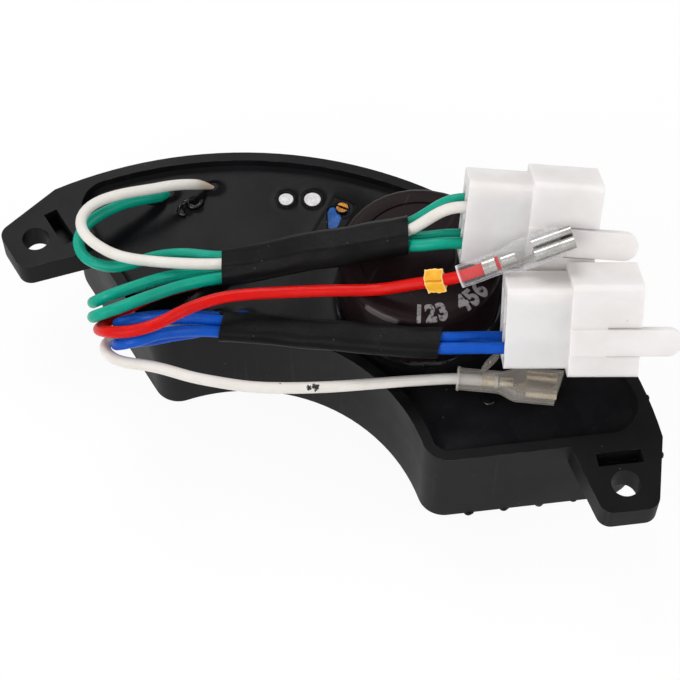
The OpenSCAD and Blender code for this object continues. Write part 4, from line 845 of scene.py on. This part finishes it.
def makeCapacitor():
    # profiles turned about the axis: the jacket goes up the wall, over the shoulder and the lip and down inside
    c = canSpec
    centre, radius, base, top = upright("capacitor_sleeve")
    lipR, step, s, e = radius - c["lipWidth"], top - c["lipStep"], c["shoulder"], c["lipRound"]
    bend, edge = np.linspace(0, math.pi / 2, 14), np.linspace(0, math.pi / 2, 6)
    wall = np.stack([np.full(30, radius), np.linspace(base, top - s - 0.1, 30)], -1)
    shoulder = np.stack([radius - s + s * np.cos(bend), top - s + s * np.sin(bend)], -1)
    lip = np.stack([lipR + e - e * np.sin(edge), top - e + e * np.cos(edge)], -1)
    inside = lipR + c["film"]
    under = [(lipR, step), (inside, step - 0.02), (inside, base + 1), (inside, base)]

    def crease(a, z, r):
        # fine upright creases that the shrinking left round the shoulder
        near = np.exp(-((z - (top - 1.0)) / 1.3) ** 2) * (r > lipR + 0.6)
        return near * 0.035 * np.sin(34 * a + 1.3 * np.sin(5 * a)) + 0.02 * np.sin(3 * a + z / 4) * (r > radius - 0.2)

    obj = lathe("capacitorJacketSkin", np.vstack([wall, shoulder, lip, under]), centre, jacket, c["around"], crease)
    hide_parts("capacitor_sleeve")
    # the disc rises a little to its middle, with a faint ring pressed into it
    r = np.concatenate([[0.02], np.linspace(0.4, lipR - 0.6, 60), [lipR + 0.3]])[::-1]
    z = step + c["dish"] * np.exp(-((r / (0.6 * lipR)) ** 2)) - 0.03 - 0.06 * np.exp(-((r - 0.55 * lipR) / 0.22) ** 2)
    face = np.vstack([[(r[-1], step - 0.2), (r[0], step - 0.2)], np.stack([r, z], -1)])
    obj = lathe("capacitorTopDisc", face, centre, jacket, c["around"])
    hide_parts("capacitor_disc")
    makeFigures(centre, radius, top)
    makeFillet(centre, radius)


makeCapacitor()
print("capacitor made")


def metalFinish(name, light, dark, rough, size=0.0015):
    m = Finish(name, Metallic=1.0)
    tone = m.tones(m.noise(size, 4, 0.6), light, dark, low=0.35)
    return m.feed(Base_Color=tone, Roughness=m.span(m.noise(size * 0.4), rough - 0.07, rough + 0.1),
                  Normal=m.bump(m.noise(size * 0.25), 0.00003, 0.5))


def plasticFinish(name, light, dark, rough, size=0.002, **constants):
    m = Finish(name, **constants)
    tone = m.tones(m.noise(size, 4, 0.6), light, dark)
    return m.feed(Base_Color=tone, Roughness=m.span(m.noise(size * 0.5), rough - 0.06, rough + 0.08),
                  Normal=m.bump(m.noise(size * 0.15), 0.00004, 0.5))


aluminium = metalFinish("canAluminium", "dadada", "b9babb", 0.38)
tinned = metalFinish("tinnedBrass", "b4b2ae", "9a9792", 0.27, 0.003)
brass = metalFinish("contactBrass", "d3b272", "9d7f45", 0.3)
dullBrass = metalFinish("dullBrass", "c6b594", "b3a384", 0.3, 0.005)
screwBrass = metalFinish("screwBrass", "805829", "47311a", 0.34)
boardLaminate = plasticFinish("boardLaminate", "8a6a35", "73572b", 0.5)
moulding = plasticFinish("mouldedBlack", "1d1d1e", "151516", 0.55)
resistorCoat = plasticFinish("resistorCoat", "6f8fa3", "5c7a8d", 0.45)
trimmerBlue = plasticFinish("trimmerBlue", "2161b4", "174580", 0.4, Specular_IOR_Level=0.2)
canTop = plasticFinish("smallCanTop", "e4e2e2", "cbc9ca", 0.4, 0.0012, Specular_IOR_Level=0.3)

# solids that stay as they are
stay = {"circuit_board": boardLaminate, "capacitor_can": aluminium, "trimmer_screw": screwBrass,
        "bridge_rectifier": moulding, "power_transistor": moulding, "driver_chip": moulding,
        "dropping_resistor": resistorCoat, "upper_plug_contacts": brass, "lower_plug_contacts": brass}
for node, finish in stay.items():
    nodes[node].data.materials.clear()
    nodes[node].data.materials.append(finish.material)

# small capacitors: bare radius of the top, and how far the black collar stands above it
smallCans = {"left": {"bare": 1.42, "collar": 0.16}, "right": {"bare": 1.62, "collar": 0.16}}


def makeSmallCans():
    for side, spec in smallCans.items():
        centre, radius, base, top = upright("small_capacitor_" + side)
        b, wall, rim = spec["bare"], radius - 0.1, radius + 0.1
        # can: straight wall, rounded edge, and a top with a shallow ring in it
        r = np.linspace(radius - 0.25, 0.02, 40)
        z = top - 0.1 - 0.05 * np.exp(-((r - 0.6 * b) / 0.15) ** 2) + 0.03 * np.cos(r / b * 2)
        body = np.vstack([[(0.02, base), (wall, base), (wall, top - 0.35)], np.stack([r, z], -1)])
        obj = lathe("smallCan." + side, body, centre, canTop, 64, lambda a, z, r: 0.02 * np.sin(3 * a + 1) * (r > 0.4))
        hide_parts("small_capacitor_" + side)
        # collar: a round bead between the bare top and the can's wall, uneven where the compound climbed it
        a, turn = turns(32)[::-1], turns(64)[:, None]
        uneven = 1 + 0.16 * np.sin(2 * turn + 0.7) + 0.1 * np.sin(5 * turn)
        r = (rim + b) / 2 + (rim - b) / 2 * np.cos(a) * (1 + 0.08 * np.sin(3 * turn + 2))
        z = top - 0.15 + (spec["collar"] * uneven + 0.15) * np.sin(a)
        grid = about(centre, r, turn, z) * mm
        gridPiece("smallCanCollar." + side, grid, potting, ring=True)


makeSmallCans()
softened("trimmerHousing", "trimmer_body", trimmerBlue, 0.18)
print("small capacitors and trimmer made")


def nylonFinish():
    m = Finish("plugNylon", Specular_IOR_Level=0.22, Subsurface_Weight=0.5, Subsurface_Scale=1.0,
               Subsurface_Radius=(0.0042, 0.0038, 0.0036))
    cloud = m.noise(0.009)
    flow = m.drawn(m.place(), (60.0, 420.0, 420.0), 0.42)
    tone = m.tones(cloud, "e7e3e2", "dfdad8")
    tone = m.tint(tone, m.ramp(flow, 0.55, 0.8) * 0.3, "eeebe9")
    tone = m.tint(tone, m.specks(0.006, 0.03) * 0.5, "8d8683")
    return m.feed(Base_Color=tone, Roughness=m.span(cloud, 0.36, 0.46),
                  Normal=m.bump(flow * 0.6 + m.noise(0.0009) * 0.5, 0.00005, 0.45))


nylon = nylonFinish()
plugs = {g: softened(g + "PlugHousing", g + "_plug", nylon, 0.35, segments=3) for g in ("upper", "lower")}
print("plugs made")

# marker on the red lead, in mm: height of its front and back face over the lead's middle, by distance to the side
markerSpec = {"from": (14.9, -4.3, 40.5), "to": (18.9, -3, 42.4), "long": 3.5, "half": 2.15,
              "toward": (0.227, -0.474, 0.851),
              "front": [(0, 1.24), (0.2, 1.34), (0.55, 1.46), (1.1, 1.02), (1.6, 0.5), (2.15, 0.3)],
              "back": [(0, -1.2), (0.6, -1.05), (1.1, -0.5), (1.6, 0.08), (2.15, 0.16)]}


def markerFinish():
    m = Finish("markerYellow", Specular_IOR_Level=0.2, Subsurface_Weight=0.1,
               Subsurface_Radius=(0.001, 0.0008, 0.0003))
    # painted shade as a darker fold down the middle of the front, and painted highlight towards the rims
    u, v, _ = m.split(m.uv())
    off = (u - 0.25) ** 2
    tone = m.tones(m.noise(0.0015), "f3b838", "e9a526")
    # painted shade along the middle fold
    tone = m.tint(tone, m.ramp(off, 0.0009, 0.0001) * 0.75, "b97413")
    paintedHighlight = m.ramp((v - 0.5) ** 2, 0.17, 0.23) + m.ramp(off, 0.042, 0.06)
    # painted highlight towards the rims
    tone = m.tint(tone, m.ramp(paintedHighlight, 0.2, 1.0, 0, 0.6), "fbe6a4")
    return m.feed(Base_Color=tone, Roughness=m.span(m.noise(0.0008), 0.36, 0.5),
                  Normal=m.bump(m.noise(0.0004), 0.00004, 0.5))


def makeMarker():
    # a flat closed section, front face across and back face returning, carried along the lead with wavering sides
    c = markerSpec
    start, end = np.array(c["from"]), np.array(c["to"])
    ahead = unit(end - start)
    toward = np.array(c["toward"])
    toward = unit(toward - ahead * (toward @ ahead))
    aside = np.cross(ahead, toward)
    s = np.linspace(-1, 1, 41) * c["half"]
    heights = [np.interp(abs(s), *np.array(c[k]).T) for k in ("front", "back")]
    section = np.vstack([np.stack([s, heights[0]], -1), np.stack([s, heights[1]], -1)[::-1]])
    v = np.linspace(-0.5, 0.5, 30)[:, None]
    wide = section[None, :, 0] * (1 + 0.03 * np.sin(9 * v + 1) + 0.02 * np.sin(21 * v)) + 0.1 * np.sin(5 * v)
    lift = section[None, :, 1] + 0.03 * np.sin(7 * v + 2 * section[None, :, 0])
    slant = v * c["long"] + 0.12 * section[None, :, 0] / c["half"]
    grid = (start + end) / 2 + slant[..., None] * ahead + wide[..., None] * aside + lift[..., None] * toward
    obj = gridPiece("leadMarker", grid * mm, markerFinish())
    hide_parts("lead_marker")
    return obj


marker = makeMarker()

# clear sleeves over the terminals, in mm along the terminal; end is where they stop and slant how far that leans; drawn
# is from where and to what share the white terminal is shortened, and tongue the torn film under the lower plug
bootSpec = {"round": 4.2, "flareFrom": 7.6, "flareTo": 11.8, "wide": 7.1, "high": 4.1, "wall": 0.32,
            "red": {"end": 19.2, "slant": 0.0, "roll": 0.0, "slot": "clear_sleeve"},
            "white": {"end": 18.9, "slant": 0.24, "roll": 0.24, "slot": "smoky_sleeve"},
            "drawn": (9.0, 0.76), "tongue": {"at": (29.5, -5.6, 25.2), "size": (2.6, 0.75, 0.2), "turn": 75.4}}


def clearFinish(name, light, dark, faceOn, grazing):
    m = Finish(name, Specular_IOR_Level=0.5, Roughness=0.14)
    along = m.split(m.uv())[1]
    cloud = m.noise(0.003, 2)
    facing = m.node("ShaderNodeLayerWeight", sockets={"Blend": 0.35}, output="Facing")
    lip = m.ramp((along - 0.5) ** 2, 0.235, 0.247)
    return m.feed(Base_Color=m.tones(cloud, light, dark),
                  Alpha=m.ramp(m.ramp(facing, 0.15, 0.95, faceOn, grazing) + lip * 0.4, 0, 1, 0, 1),
                  Normal=m.bump(m.noise(0.0016, 2), 0.00006, 0.4))


bootFinishes = {"red": clearFinish("clearVinyl", "f2f2f4", "e6e6ea", 0.12, 0.75),
                "white": clearFinish("smokyVinyl", "cdc7c0", "bfb8b0", 0.3, 0.8)}


def makeBoot(kind):
    # a circle that widens into a stadium along the terminal, outer wall out and inner wall back
    c, spec = bootSpec, bootSpec[kind]
    a = oblongTurns(72)
    v = np.linspace(0, 1, 90)[:, None]
    walls = []
    for inset in (0.0, c["wall"]):
        x = v * spec["end"]
        share = smoothStep((x - c["flareFrom"]) / (c["flareTo"] - c["flareFrom"]))
        roll = 2 * spec["roll"] * np.exp(-((x - 0.3) / 0.28) ** 2) * (inset == 0)
        w = c["round"] + (c["wide"] - c["round"]) * share - 2 * inset + roll
        h = c["round"] + (c["high"] - c["round"]) * share - 2 * inset + roll
        y, z = np.moveaxis(oblong(a, w, h), -1, 0)
        z = z * (1 + 0.02 * np.sin(x + 2 * np.cos(a)))
        walls.append(np.stack([v * (spec["end"] + spec["slant"] * y), y, z], -1))
    loop = np.concatenate([walls[0], walls[1][::-1]])
    obj = gridPiece(kind + "TerminalBoot", posed(spadePose[kind], loop), bootFinishes[kind], ring=True)
    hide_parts(kind + "_terminal_sleeve")
    return obj


boots = {kind: makeBoot(kind) for kind in ("red", "white")}
torn = bootSpec["tongue"]
tongue = bead("terminalTongue", torn["at"], torn["size"], torn["turn"], bootFinishes["white"])
terminals = {"red": softened("redTerminalMetal", "red_terminal", tinned, 0.07),
             "white": softened("whiteTerminalMetal", "white_terminal", dullBrass, 0.07)}


def drawIn(mesh, pose, start, share):
    # pulls in what lies past start along a terminal, to that share of its length
    at, foot = pointsOf(mesh), posed(pose, [(start, 0, 0), (start + 1, 0, 0)])
    axis = (foot[1] - foot[0]) / mm
    past = np.maximum((at - foot[0]) @ axis, 0)
    mesh.vertices.foreach_set("co", (at - (1 - share) * past[:, None] * axis).ravel())
    mesh.update()


# the white lead's terminal shows shorter than the red one's
drawIn(terminals["white"].data, spadePose["white"], *bootSpec["drawn"])
print("marker and terminals made")

# a pass over the leads that only looks whether each belongs to a sleeve group, and keeps nothing
for name, spec in leads.items():
    "group" in spec

# floor, world and lamps, in metres and watts; glow is how far the floor shows as plain white
studio = {"floor": "f4f4f4", "floorHalf": 3.0, "floorDrop": 0.0002, "glow": 0.92, "world": 0.5, "aim": (0, 0, 0.02),
          "lamps": {"soft": {"at": (-0.42, 0.40, 0.78), "size": 0.42, "power": 3.2},
                    "front": {"at": (-0.22, -0.75, 0.55), "size": 0.6, "power": 4.8},
                    "side": {"at": (0.75, 0.15, 0.45), "size": 0.5, "power": 2.2}}}


def seenDirectly(m):
    # 1 for what the camera sees, straight on or by reflection or through something clear
    rays = m.node("ShaderNodeLightPath").socket.node.outputs
    straight, glossy, through = (Field(m, rays[n]) for n in ("Is Camera Ray", "Is Glossy Ray", "Is Transmission Ray"))
    return straight.maths("MAXIMUM", straight, straight.maths("MAXIMUM", glossy, through))


def setStudio():
    world = bpy.data.worlds.new("studio")
    scene.world = world
    world.use_nodes = True
    sky = Shade(world.node_tree)
    back = world.node_tree.nodes["Background"]
    back.inputs["Color"].default_value = (1.0, 1.0, 1.0, 1.0)
    sky.put(back.inputs["Strength"], seenDirectly(sky) * (1 - studio["world"]) + studio["world"])
    for name, lamp in studio["lamps"].items():
        data = bpy.data.lights.new(name, "AREA")
        data.shape, data.size, data.energy = "SQUARE", lamp["size"], lamp["power"]
        obj = bpy.data.objects.new(name, data)
        scene.collection.objects.link(obj)
        obj.matrix_world = aimed(Vector(lamp["at"]), Vector(studio["aim"]))
    m = Finish("paleFloor", Roughness=0.9, Specular_IOR_Level=0.0, Base_Color=rgb(studio["floor"]))
    glow = m.node("ShaderNodeEmission", sockets={"Color": (1.0, 1.0, 1.0, 1.0), "Strength": 1.0})
    blend = m.node("ShaderNodeMixShader",
                   sockets={0: seenDirectly(m) * studio["glow"], 1: Field(m, m.shader.outputs[0]), 2: glow})
    m.put(m.tree.nodes["Material Output"].inputs["Surface"], blend)
    half, drop = studio["floorHalf"], -studio["floorDrop"]
    corners = [(x * half, y * half, drop) for x, y in ((-1, -1), (1, -1), (1, 1), (-1, 1))]
    mesh = bpy.data.meshes.new("floor")
    mesh.from_pydata(corners, [], [(0, 1, 2, 3)])
    floor = bpy.data.objects.new("floor", mesh)
    scene.collection.objects.link(floor)
    mesh.materials.append(m.material)


setStudio()
print("studio set")
